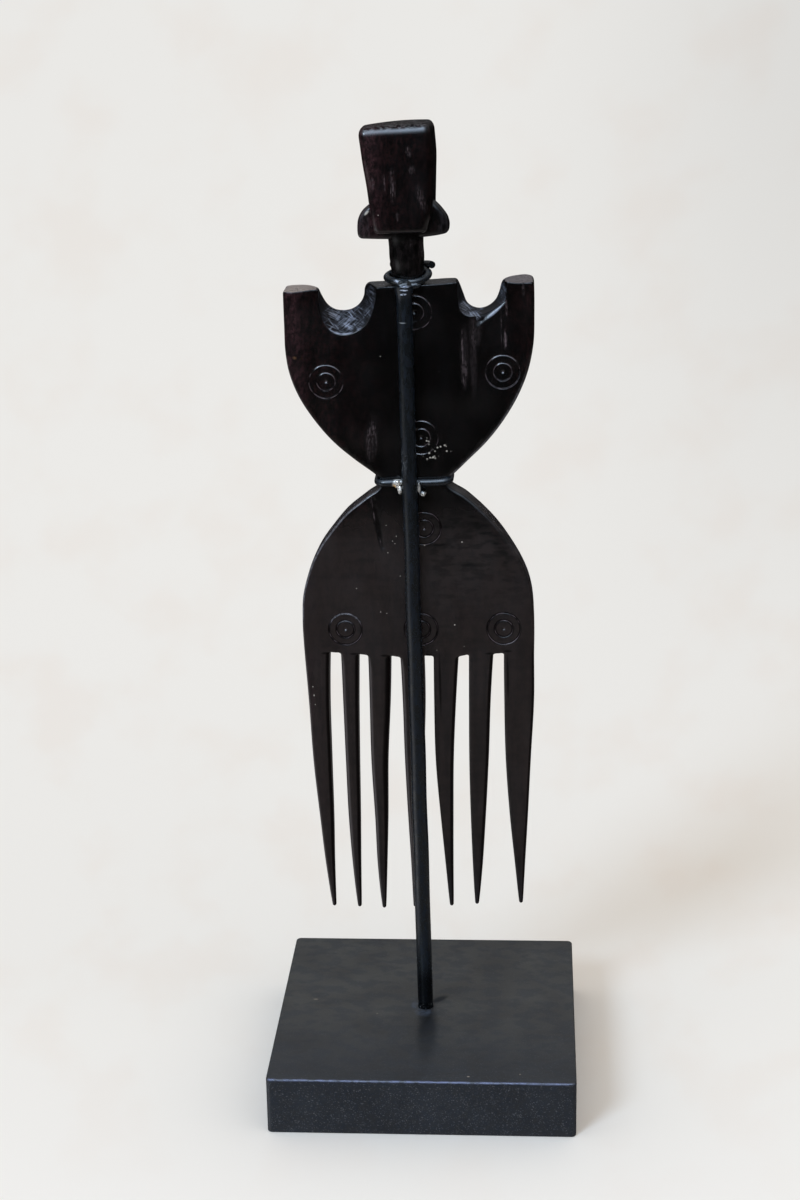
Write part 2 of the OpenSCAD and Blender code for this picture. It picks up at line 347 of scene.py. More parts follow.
class Graph:
    """A node tree that is written a node a line."""

    def __init__(self, tree: bpy.types.NodeTree) -> None:
        """Takes a tree and empties it."""
        self.tree = tree
        tree.nodes.clear()

    def add(self, kind: str, inputs: dict | None = None, out: int | str | None = 0, **settings) -> object:
        """Adds a node, with its settings, and fills or links its inputs.

        Args:
            kind: the node's type without its ShaderNode prefix.
            inputs: values or sockets by input name or number.
            out: which output to return, or None for the node itself.
            settings: properties to set on the node.

        Returns:
            The output socket or the node.
        """
        made = self.tree.nodes.new("ShaderNode" + kind)
        for key, value in settings.items():
            setattr(made, key, value)
        for key, value in (inputs or {}).items():
            if isinstance(value, bpy.types.NodeSocket):
                self.tree.links.new(value, made.inputs[key])
            else:
                made.inputs[key].default_value = value
        return made if out is None else made.outputs[out]

    def sum(self, *terms: object) -> object:
        """Sum of sockets and numbers.

        Args:
            terms: two or more terms, added in their order.

        Returns:
            The last sum's output.
        """
        total = terms[0]
        for term in terms[1:]:
            total = self.add("Math", {0: total, 1: term}, operation="ADD")
        return total

    def times(self, *terms: object) -> object:
        """Product of sockets and numbers.

        Args:
            terms: the factors, multiplied in their order.

        Returns:
            The last product's output, or the one factor itself.
        """
        total = terms[0]
        for term in terms[1:]:
            total = self.add("Math", {0: total, 1: term}, operation="MULTIPLY")
        return total

    def step(self, value: object, low: float, high: float, start: float = 0.0, end: float = 1.0) -> object:
        """Smooth step of a value from start at low to end at high."""
        inputs = {"Value": value, "From Min": low, "From Max": high, "To Min": start, "To Max": end}
        return self.add("MapRange", inputs, interpolation_type="SMOOTHSTEP")

    def layer(self, body: object, colour: str, *amounts: object) -> object:
        """The body colour with another laid over it, as far as the product of the amounts says."""
        return self.add("Mix", {0: self.times(*amounts), 6: body, 7: linear(colour)}, out=2, data_type="RGBA")

    def stretched(self, place: object, sizes: Sizes, detail: float = 2.0) -> object:
        """Noise whose grains have the given sizes in millimetres along x, y and z."""
        moved = self.add("Mapping", {"Vector": place, "Scale": tuple(1.0 / size for size in sizes)})
        return self.add("TexNoise", {"Vector": moved, "Scale": 1.0, "Detail": detail})

    def upright(self, across: float = 0.0) -> object:
        """Object coordinates in millimetres of the upright frame that the stand carries leaning.

        Args:
            across: how far the frame's own axis stands to the right of the rod's.

        Returns:
            The coordinates' output.
        """
        origin = tuple(STAND.carry(np.zeros(3), across).tolist())
        inputs = {"Vector": self.add("TexCoord", out="Object"), "Location": origin, "Scale": (MM, MM, MM)}
        inputs["Rotation"] = (0.0, -math.radians(STAND.lean), 0.0)
        return self.add("Mapping", inputs, vector_type="TEXTURE")

    def within(self, value: object, low: float, high: float, soft: float) -> object:
        """1 for a value between low and high, falling to 0 over a soft margin outside them."""
        return self.times(self.step(value, low - soft, low), self.step(value, high + soft, high))

    def spot(
        self, place: object, x: float, z: float, half_x: float, half_z: float, turn: float = 0.0
    ) -> object:
        """Soft-edged ellipse about x, z, turned by degrees from the upright, through the whole depth.

        It is worked out with vector maths alone, because the renderer keeps the results of many mapping nodes
        waiting at the same time and then has no room for the material.

        Args:
            place: coordinates in millimetres.
            x: the middle's place across.
            z: the middle's height.
            half_x: half the width, before the turn.
            half_z: half the height, before the turn.
            turn: the turn in degrees.

        Returns:
            1 in the middle third, falling to 0 at the ellipse's edge.
        """
        if turn:
            c, s = math.cos(math.radians(turn)), math.sin(math.radians(turn))
            across = self.add("VectorMath", {0: place, 1: (c, 0.0, -s)}, out="Value", operation="DOT_PRODUCT")
            up = self.add("VectorMath", {0: place, 1: (s, 0.0, c)}, out="Value", operation="DOT_PRODUCT")
            place, x, z = self.add("CombineXYZ", {0: across, 2: up}), c * x - s * z, s * x + c * z
        inputs = {0: place, 1: (1.0 / half_x, 0.0, 1.0 / half_z), 2: (-x / half_x, 0.0, -z / half_z)}
        moved = self.add("VectorMath", inputs, operation="MULTIPLY_ADD")
        return self.step(self.add("VectorMath", {0: moved}, out="Value", operation="LENGTH"), 1.0, 0.35)

    def spots(self, place: object, *patches: Patch, strength: float = 1.0) -> object:
        """Sum of spots, each added before the next is made, so that few values wait at a time.

        Args:
            place: coordinates in millimetres.
            patches: each spot's numbers, as spot takes them.
            strength: what the sum is multiplied by.

        Returns:
            The sum's output.
        """
        total = 0.0
        for patch in patches:
            total = self.sum(total, self.spot(place, *patch))
        return total if strength == 1.0 else self.times(total, strength)

    def finish(self, shader: object, output: str = "OutputMaterial") -> None:
        """Links the shader to the tree's output."""
        self.add(output, {"Surface": shader}, out=None)


@dataclass(frozen=True)
class OiledEbony:
    """Dark hardwood, knife-carved, filed, then oiled and polished.

    Nearly black, with red-brown mottling at the sides and on the head. The head and the shield are polished
    to a gloss and mirror a dark room, the dome and the teeth are left more matt and show the wood's
    grey-brown.
    Wax caught in file marks shows as pale streaks, and the notches show the file's crossed strokes, painted
    as bluish highlights where the floors are lit. Painted highlights also lie on some rims and groove walls,
    and painted shade in the grooves, at the gap tops and on the tooth sides that face right. A row of the
    patches is x, z, half width and half height in millimetres, then its turn in degrees where it leans.
    """

    black: str = "#030303"
    red: str = "#1e0f10"
    rust: str = "#2c1b1f"
    worn: str = "#1e1615"
    # painted highlight colour for the left-facing rims of the left teeth
    left_rim_highlight: str = "#3c3536"
    dark: str = "#0c0a0a"
    end_grain: str = "#72696a"
    bare_grain: str = "#a8998d"
    # also the colour of the painted highlight on the ring marks' groove walls
    wax: str = "#6d6268"
    # painted highlight colour of the file strokes, the notch lip and the facet's ridge
    filed: str = "#a4b0c9"
    # also the colour of the painted highlight on the left ear's rim
    dust: str = "#b4b1ab"
    # painted highlight colour for the dome's left rim and the shield's low right rim
    edge: str = "#5f6068"
    wall: str = "#3a3536"
    amber: str = "#4d3826"
    ear: str = "#2c2c30"
    neck: str = "#1a1718"
    gloss: float = 0.2
    matt: float = 0.34
    wood_fibre: Sizes = (0.35, 0.35, 7.0)
    mottling: Sizes = (1.2, 1.2, 2.4)
    flecks: Sizes = (0.55, 0.55, 0.9)
    clouds: Sizes = (6.0, 6.0, 11.0)
    tooth_bands: Sizes = (1.5, 1.5, 45.0)
    wax_streaks: Patches = (
        (-10.4, 159.5, 2.0, 7.5, 4.0), (1.9, 226.3, 1.0, 1.4), (4.0, 219.5, 1.3, 4.4, -15.0),
        (-2.9, 222.6, 1.0, 5.4), (-7.8, 223.1, 0.8, 1.9), (-4.9, 223.4, 0.5, 2.6), (-1.9, 215.2, 0.5, 1.6),
        (0.9, 208.2, 0.4, 1.4), (13.4, 175.6, 1.0, 4.6), (13.1, 182.5, 0.3, 5.6), (22.8, 187.0, 0.26, 6.5),
        (28.4, 196.4, 0.45, 2.4), (-9.0, 131.8, 0.24, 1.6, -7.0), (4.0, 206.6, 1.6, 3.0),
    )
    bright_wax: Patches = (
        (1.3, 230.6, 0.9, 1.6, -12.0), (24.2, 192.0, 0.4, 2.8), (23.75, 184.0, 0.6, 3.2),
        (-3.1, 222.2, 0.26, 4.8), (-10.9, 142.8, 0.3, 2.2, -7.0), (-10.4, 139.0, 0.24, 1.8, -7.0),
    )
    faint_wax: Patches = ((15.75, 178.5, 1.2, 11.0), (16.4, 186.4, 2.2, 5.4), (13.6, 180.0, 1.4, 10.0))
    amber_stain: Patch = (-28.2, 180.3, 1.5, 0.7)
    smears: Patches = (
        (10.0, 136.6, 5.2, 2.0), (5.6, 130.6, 4.6, 1.3), (14.5, 125.4, 4.8, 1.0),
        (18.3, 134.2, 2.2, 11.0, -41.0), (-5.5, 142.0, 5.0, 3.0),
    )
    gouge: Patch = (-9.65, 136.8, 1.0, 9.0, -7.7)
    gouge_fringe: Patch = (-9.5, 137.6, 1.9, 10.5, -7.7)
    # painted shade at the gap tops, and two dark strips down the teeth beside the gaps
    gap_shade: Patches = (
        (-24.3, 101.9, 1.5, 0.45), (-16.9, 101.7, 1.6, 0.45), (-8.7, 101.1, 1.8, 0.45),
        (18.4, 101.4, 1.5, 0.4), (23.0, 102.0, 1.5, 0.4), (5.3, 93.0, 0.45, 11.0), (23.0, 95.0, 0.4, 8.0),
        (2.4, 101.2, 1.6, 0.4),
    )
    lit_floors: Patches = ((-17.8, 188.3, 5.6, 5.0), (14.8, 190.8, 4.0, 3.0))
    dim_floors: Patches = ((-12.8, 189.3, 4.6, 4.6), (-9.3, 193.0, 2.0, 5.0), (23.0, 195.0, 2.0, 3.5))
    # painted highlight on the left notch's lip and on the facet's ridge, and painted shadow at the facet's
    # foot
    notch_lip_highlight: Patch = (-16.2, 186.4, 6.5, 2.4)
    facet_ridge_highlight: Patch = (21.3, 190.9, 3.0, 0.5, -41.0)
    facet_foot_shadow: Patch = (17.9, 188.4, 1.9, 1.5)
    # painted highlight on the left ear's rim
    ear_glint: Patch = (-9.7, 215.7, 1.0, 0.36, -45.0)
    dust_heap: Patches = ((4.5, 154.7, 2.4, 1.7), (7.6, 156.4, 3.0, 1.5), (3.6, 158.4, 1.6, 1.3))
    lone_specks: Patches = (
        (-7.4, 180.3, 0.16, 0.14), (-6.6, 215.6, 0.15, 0.13), (-28.1, 92.6, 0.16, 0.24),
        (-27.9, 90.2, 0.16, 0.4), (-27.7, 87.6, 0.15, 0.18), (-4.9, 133.5, 0.16, 0.18),
        (-5.9, 132.2, 0.14, 0.16), (-5.3, 131.5, 0.15, 0.13), (-7.2, 129.1, 0.18, 0.14),
        (-7.4, 136.4, 0.13, 0.15), (-4.2, 122.8, 0.16, 0.14), (-15.6, 119.6, 0.15, 0.17),
        (-8.0, 112.7, 0.13, 0.15),
    )

    def material(self) -> bpy.types.Material:
        """The node material: the tone of the wood, then each kind of wear laid over it.

        Returns:
            The material.
        """
        made = bpy.data.materials.new("oiled_ebony")
        made.use_nodes = True
        g = Graph(made.node_tree)
        wood = EbonyLayers(self, g)
        body = wood.tone()
        first = (wood.walls, wood.scars, wood.wax, wood.marks)
        later = (wood.rims, wood.notches, wood.tops, wood.head, wood.dirt)
        for lay in first + later:
            body = lay(body)
        g.finish(wood.shader(body))
        return made


class EbonyLayers:
    """The layers of the comb's wood, in the upright millimetres of the comb's own frame.

    A node is made shortly before it is used, because the renderer keeps every result that is still waiting
    and has room for few.
    """

    def __init__(self, look: OiledEbony, g: Graph) -> None:
        """Makes the coordinates and the noises that the layers share.

        Args:
            look: the finish with its colours and patches.
            g: the graph of the material.
        """
        self.look, self.g = look, g
        self.place = g.upright(STAND.comb_x)
        self.x, self.y, self.z = (g.add("SeparateXYZ", {0: self.place}, out=k) for k in range(3))
        self.normal = g.add("NewGeometry", out="Normal")
        self.normal_z = g.add("SeparateXYZ", {0: self.normal}, out=2)
        self.turned = g.add("Math", {0: g.add("SeparateXYZ", {0: self.normal}, out=1)}, operation="ABSOLUTE")
        self.fibre = g.stretched(self.place, look.wood_fibre, 3.0)
        self.mottle = g.stretched(self.place, look.mottling, 4.0)
        self.fleck = g.stretched(self.place, look.flecks, 2.0)
        self.cloud = g.stretched(self.place, look.clouds, 3.0)
        self.smear = g.stretched(self.place, (6.5, 6.5, 1.3), 3.0)
        self.low = g.sum(g.step(self.z, 145.0, 129.0), g.step(self.z, 122.0, 110.0, 0.0, -0.12))

    def tone(self) -> object:
        """Black wood, redder at the sides and on the head, grey-brown on the dome and the teeth.

        Returns:
            The colour.
        """
        g, look, x, z = self.g, self.look, self.x, self.z
        left, right = g.step(x, -4.0, -21.0, 0.0, 0.45), g.step(x, 21.0, 31.0, 0.0, 0.5)
        slab = g.times(
            g.step(z, 209.0, 212.0),
            g.sum(g.step(x, 3.0, -7.0, 0.26, 0.66), g.step(z, 226.0, 232.0, 0.0, 0.2)),
        )
        reddish = g.times(
            g.sum(left, right, slab, 0.12), g.step(self.mottle, 0.38, 0.62, 0.25, 1.0),
            g.step(self.cloud, 0.3, 0.65, 0.5, 1.0), g.step(self.fleck, 0.38, 0.62, 0.2, 1.5),
        )
        body = g.layer(linear(look.black), look.red, reddish)
        column = g.step(x, -24.0, -30.0, 0.0, 0.95)
        slab_left = g.times(g.step(z, 205.0, 212.0), g.step(x, -3.0, -9.0))
        rusty = g.times(
            g.sum(column, slab_left), g.step(self.mottle, 0.34, 0.7, 0.25, 1.0),
            g.step(self.fleck, 0.36, 0.62, 0.45, 1.15),
        )
        body = g.layer(body, look.rust, rusty)
        brown = g.times(
            self.low, g.step(self.smear, 0.3, 0.55, 0.62, 1.0), g.step(self.mottle, 0.3, 0.7, 0.72, 1.2),
            g.step(self.fleck, 0.3, 0.7, 0.85, 1.15),
        )
        bands = g.step(g.stretched(self.place, look.tooth_bands, 2.0), 0.36, 0.64, 0.7, 1.25)
        teeth = g.sum(1.0, g.times(g.step(z, 108.0, 98.0), g.sum(bands, -1.0)))
        return g.layer(body, look.worn, brown, teeth, g.step(z, 62.0, 34.0, 1.0, 0.7))

    def walls(self, body: object) -> object:
        """Paler side walls, painted shade on the tooth sides at the left of each gap, and painted highlights
        on the left-facing rims of the left teeth.

        Args:
            body: the colour so far.

        Returns:
            The colour with this layer on it.
        """
        g, look, x, z = self.g, self.look, self.x, self.z
        notches = g.times(g.within(x, -21.8, 23.0, 0.8), g.step(z, 184.0, 186.0))
        flank = g.times(g.step(x, 20.0, 26.0), g.step(z, 162.0, 174.0))
        walls = g.times(
            g.step(self.turned, 0.5, 0.2), g.sum(1.0, g.times(notches, -0.8)),
            g.sum(1.0, g.times(flank, -0.75)),
        )
        streaky = g.step(z, 199.0, 196.0), g.step(self.smear, 0.3, 0.7, 0.35, 0.8)
        body = g.layer(body, look.wall, walls, *streaky)
        # painted shade: the tooth sides that face right are darkened
        across = g.add("SeparateXYZ", {0: self.normal}, out=0)
        self.right_facing_shade = g.times(g.step(across, 0.12, 0.45), g.step(z, 104.0, 101.0))
        body = g.layer(body, look.dark, self.right_facing_shade, 0.85)
        # painted highlight: the left-facing rims of the left teeth are lightened
        lit = g.times(
            g.step(across, -0.1, -0.5), g.step(self.turned, 0.35, 0.6), g.step(x, 2.0, -6.0),
            g.step(z, 104.0, 98.0),
        )
        return g.layer(body, look.left_rim_highlight, lit, 0.7)

    def scars(self, body: object) -> object:
        """Pits and smears on the dome, the long gouge, and painted shade at the gap tops with two dark strips
        down the teeth beside them.

        Args:
            body: the colour so far.

        Returns:
            The colour with this layer on it.
        """
        g, look, place, z = self.g, self.look, self.place, self.z
        pits = g.times(
            g.step(g.stretched(place, (3.6, 3.6, 1.5), 4.0), 0.42, 0.62), g.within(self.x, 5.0, 28.0, 3.0),
            g.step(z, 108.0, 130.0, 0.1, 1.0),
        )
        smears = g.times(g.spots(place, *look.smears), g.step(self.smear, 0.36, 0.56))
        self.pits = g.times(g.sum(pits, smears), g.step(z, 149.0, 146.0))
        self.gouge, fringe = g.spot(place, *look.gouge), g.spot(place, *look.gouge_fringe)
        splinters = g.step(g.stretched(place, (0.35, 0.6, 2.0), 3.0), 0.42, 0.56)
        torn = g.sum(self.gouge, g.times(fringe, splinters, 0.6))
        # painted shade at the gap tops, and two dark strips down the teeth
        self.gap_shade = g.spots(place, *look.gap_shade)
        return g.layer(body, look.dark, g.sum(g.times(self.pits, 0.62), torn, g.times(self.gap_shade, 0.8)))

    def wax(self, body: object) -> object:
        """Wax in the file marks, as upright strokes inside soft patches, and one amber stain.

        Args:
            body: the colour so far.

        Returns:
            The colour with this layer on it.
        """
        g, look, place = self.g, self.look, self.place
        where = g.sum(g.spots(place, *look.wax_streaks), g.spots(place, *look.bright_wax, strength=1.9))
        strokes = g.stretched(place, (0.22, 0.6, 4.4), 3.0)
        grains = g.stretched(place, (0.42, 0.6, 0.8), 3.0)
        dull = g.times(g.spots(place, *look.faint_wax), g.step(grains, 0.34, 0.66, 0.25, 1.0), 0.19)
        clear = g.times(where, g.step(strokes, 0.4, 0.72, 0.12, 1.0), g.step(grains, 0.36, 0.7, 0.15, 1.0))
        body = g.layer(body, look.wax, g.sum(dull, clear), 0.48)
        return g.layer(body, look.amber, g.spot(place, *look.amber_stain), g.step(self.fleck, 0.42, 0.6))

    def marks(self, body: object) -> object:
        """Painted shade in the grooves of the ring-and-dot marks, and the polish dried in them, uneven round
        each ring and painted brighter as a highlight on the groove walls that face up.

        Args:
            body: the colour so far.

        Returns:
            The colour with this layer on it.
        """
        g, look, z = self.g, self.look, self.z
        near = 100.0
        for mark in MARKS:
            away = g.add("VectorMath", {0: self.place, 1: (mark.x, 0.0, mark.z)}, operation="SUBTRACT")
            flat = g.add("VectorMath", {0: away, 1: (1.0, 0.0, 1.0)}, operation="MULTIPLY")
            reach = g.add("VectorMath", {0: flat}, out="Value", operation="LENGTH")
            near = g.add("Math", {0: reach, 1: near}, operation="MINIMUM")
        lines = g.sum(
            g.within(near, 2.25, 2.36, 0.12), g.within(near, 4.23, 4.34, 0.12), g.step(near, 0.4, 0.12),
        )
        # painted shade in the grooves
        self.groove_shade = g.sum(g.within(near, 2.0, 2.6, 0.12), g.within(near, 4.03, 4.53, 0.12))
        polish = g.times(lines, g.step(g.stretched(self.place, (1.7, 1.7, 1.7), 2.0), 0.4, 0.62, 0.05, 1.0))
        body = g.layer(body, look.dark, self.groove_shade, g.step(z, 142.0, 146.0, 0.85, 0.55))
        # painted highlight: the polish is brighter on the groove walls that face up
        lit = g.times(g.step(self.normal_z, -0.05, 0.35), g.step(z, 140.0, 150.0, 0.62, 0.5))
        return g.layer(body, look.wax, polish, g.sum(lit, g.step(z, 140.0, 150.0, 0.06, 0.16)))

    def rims(self, body: object) -> object:
        """Painted highlights on two rims: the dome's left one and the shield's low right one.

        Args:
            body: the colour so far.

        Returns:
            The colour with this layer on it.
        """
        g, x, z = self.g, self.x, self.z
        rims = g.times(
            g.within(self.turned, 0.3, 0.93, 0.05),
            g.step(g.stretched(self.place, (0.6, 0.6, 0.8), 3.0), 0.4, 0.58, 0.3, 1.0),
        )
        dome = g.times(g.step(x, -7.0, -10.0), g.within(z, 112.0, 146.5, 3.0))
        shield = g.times(g.step(x, 8.0, 10.0), g.within(z, 150.0, 172.0, 5.0), 0.5)
        # painted highlight on the dome's left rim and the shield's low right rim
        return g.layer(body, self.look.edge, rims, g.sum(dome, shield), 0.8)

    def notches(self, body: object) -> object:
        """The notches' dark floors with the file's strokes painted as bluish highlights where they are lit, a
        painted highlight on the left notch's lip and on the ridge of the facet under the right notch, and
        painted shadow at the facet's foot.

        Three sets of wavy bands cross in the slope of the floor, each broken up by noise.

        Args:
            body: the colour so far.

        Returns:
            The colour with this layer on it.
        """
        g, look, place, x, y, z = self.g, self.look, self.place, self.x, self.y, self.z
        left = g.times(g.within(x, -22.6, -7.6, 0.5), g.within(z, 183.0, 197.2, 0.5))
        right = g.times(g.within(x, 11.8, 24.2, 0.3), g.within(z, 189.0, 197.6, 0.5))
        self.floors = g.times(g.sum(left, right), g.within(y, 2.5, 9.1, 0.25))
        slope = g.add("CombineXYZ", {0: x, 1: 0.0, 2: g.sum(z, g.times(y, 0.22))})
        broken = g.stretched(place, (2.0, 2.0, 1.6), 3.0)
        strokes = []
        for turn, width in ((38.0, 0.27), (-47.0, 0.21), (62.0, 0.17)):
            turned = g.add("Mapping", {"Vector": slope, "Rotation": (0.0, math.radians(turn), 0.0)})
            lines = g.stretched(turned, (width, 1.0, 5.5), 2.0)
            strokes.append(g.times(g.step(lines, 0.56, 0.64), g.step(broken, 0.36, 0.6, 0.2, 1.0)))
        lit = g.sum(
            g.spots(place, *look.lit_floors, strength=0.84),
            g.spots(place, *look.dim_floors, strength=0.26), 0.02,
        )
        # painted highlight along the left notch's lip
        lip_highlight = g.times(
            g.within(y, 2.3, 2.7, 0.06), g.spot(place, *look.notch_lip_highlight), g.step(broken, 0.3, 0.6), 0.7,
        )
        # painted highlights: the file strokes where the floors are lit, and the lip
        self.strokes = g.sum(g.times(self.floors, g.sum(*strokes), lit), lip_highlight)
        body = g.layer(body, look.dark, self.floors, 0.8)
        body = g.layer(body, look.filed, self.strokes)
        # painted highlight on the facet's ridge
        body = g.layer(body, look.filed, g.spot(place, *look.facet_ridge_highlight), g.step(y, 3.4, 3.0), 0.4)
        # painted shadow at the facet's foot
        self.facet_foot_shadow = g.spot(place, *look.facet_foot_shadow)
        return g.layer(body, look.dark, self.facet_foot_shadow, 0.7)

    def tops(self, body: object) -> object:
        """End grain on the sawn tops of the shield, barest on the left shoulder.

        Args:
            body: the colour so far.

        Returns:
            The colour with this layer on it.
        """
        g, look, x = self.g, self.look, self.x
        pores = g.step(g.stretched(self.place, (0.4, 0.4, 0.4), 3.0), 0.34, 0.6, 0.25, 1.0)
        shoulders = g.sum(g.step(x, -12.0, -20.0), g.step(x, 14.0, 21.0, 0.0, 0.6), 0.15)
        self.ends = g.times(
            g.step(self.normal_z, 0.72, 0.95), g.within(self.z, 195.8, 200.0, 0.5), shoulders, pores,
        )
        body = g.layer(body, look.end_grain, self.ends)
        return g.layer(body, look.bare_grain, self.ends, g.step(x, -19.0, -24.0), 0.5)

    def head(self, body: object) -> object:
        """Greyer ears, a dark mottled neck and a painted highlight on the left ear's rim.

        Args:
            body: the colour so far.

        Returns:
            The colour with this layer on it.
        """
        g, look, x, z = self.g, self.look, self.x, self.z
        ears = g.times(
            g.sum(g.step(x, 7.4, 8.2), g.step(x, -8.8, -9.6)), g.within(z, 208.0, 222.0, 1.0),
            g.step(self.mottle, 0.35, 0.65, 0.05, 0.4),
        )
        body = g.layer(body, look.ear, ears)
        body = g.layer(
            body, look.neck, g.within(z, 199.5, 208.8, 0.3), g.step(self.mottle, 0.4, 0.66, 0.0, 0.55),
        )
        # painted highlight on the left ear's rim, in the dust colour
        chip = g.spot(self.place, *look.ear_glint)
        return g.layer(body, look.dust, chip, g.step(self.fleck, 0.3, 0.5, 0.3, 0.9))

    def dirt(self, body: object) -> object:
        """Specks of dust: a few scattered ones, a heap in the shield's lowest ring, and single ones in front.

        Args:
            body: the colour so far.

        Returns:
            The colour with this layer on it.
        """
        g, look, place, z = self.g, self.look, self.place, self.z
        cells = g.add("TexVoronoi", {"Vector": place, "Scale": 0.42}, out=None)
        drawn = g.add("SeparateXYZ", {0: cells.outputs["Color"]}, out=0)
        luck = g.sum(drawn, g.step(z, 150.0, 142.0, 0.0, 0.1))
        heap = g.spots(place, *look.dust_heap)
        chips = g.add("TexVoronoi", {"Vector": place, "Scale": 1.35}, out=None)
        grains = g.step(chips.outputs["Distance"], 0.42, 0.26)
        drawn = g.add("SeparateXYZ", {0: chips.outputs["Color"]}, out=0)
        heap = g.times(heap, grains, g.step(drawn, 0.18, 0.5))
        lone = g.spots(place, *look.lone_specks)
        scattered = g.times(
            g.step(cells.outputs["Distance"], 0.09, 0.05), g.step(luck, 0.95, 1.06), g.step(z, 101.0, 106.0),
            g.step(z, 170.0, 150.0, 0.3, 1.0),
        )
        front = g.times(g.sum(heap, lone), g.step(self.y, 5.5, 4.5))
        return g.layer(body, look.dust, g.sum(scattered, front), 0.8)

    def shader(self, body: object) -> object:
        """The wood's shine: glossier above the waist, dead in cuts, on bare end grain and on the slab's top.

        Args:
            body: the finished colour.

        Returns:
            The shader's output.
        """
        g, look, place, x, z = self.g, self.look, self.place, self.x, self.z
        rough = g.times(self.low, look.matt - look.gloss)
        rough = g.sum(rough, g.step(self.cloud, 0.3, 0.7, look.gloss - 0.02, look.gloss + 0.05))
        rough = g.sum(rough, g.times(g.sum(self.ends, self.floors), 0.22))
        relief = g.add("Bump", {"Strength": 0.35, "Distance": 0.04 * MM, "Height": self.fibre})
        pore = g.stretched(place, (0.18, 0.18, 1.6), 2.0)
        relief = g.add("Bump", {"Strength": 0.35, "Distance": 0.03 * MM, "Height": pore, "Normal": relief})
        filed = {"Strength": 0.6, "Distance": 0.12 * MM, "Height": self.strokes, "Normal": relief}
        relief = g.add("Bump", filed)
        worn_top = g.times(
            g.step(z, 229.0, 231.5), g.step(g.stretched(place, (0.9, 0.9, 0.5), 2.0), 0.38, 0.56),
            g.step(self.normal_z, 0.45, 0.85, -0.03, -0.48),
        )
        ear = g.times(g.step(x, 7.0, 8.2), g.within(z, 207.0, 224.0, 1.0), -0.3)
        neck = g.times(g.within(z, 199.5, 208.5, 0.5), g.step(self.mottle, 0.35, 0.65, -0.15, -0.35))
        shoulder_rims = g.times(
            g.within(z, 196.2, 199.4, 0.2), g.within(self.turned, 0.3, 0.93, 0.05),
            g.step(self.fleck, 0.35, 0.65, -0.42, -0.2),
        )
        specular = g.sum(
            0.5, g.times(self.floors, -0.42), g.times(self.gouge, -0.4), g.times(self.facet_foot_shadow, -0.35),
            worn_top, ear, g.times(self.right_facing_shade, -0.45), g.times(self.pits, -0.14), g.times(self.gap_shade, -0.35),
            neck, shoulder_rims, g.times(self.groove_shade, g.step(z, 150.0, 140.0), -0.35),
        )
        inputs = {"Base Color": body, "Roughness": rough, "Normal": relief, "Specular IOR Level": specular}
        return g.add("BsdfPrincipled", inputs)


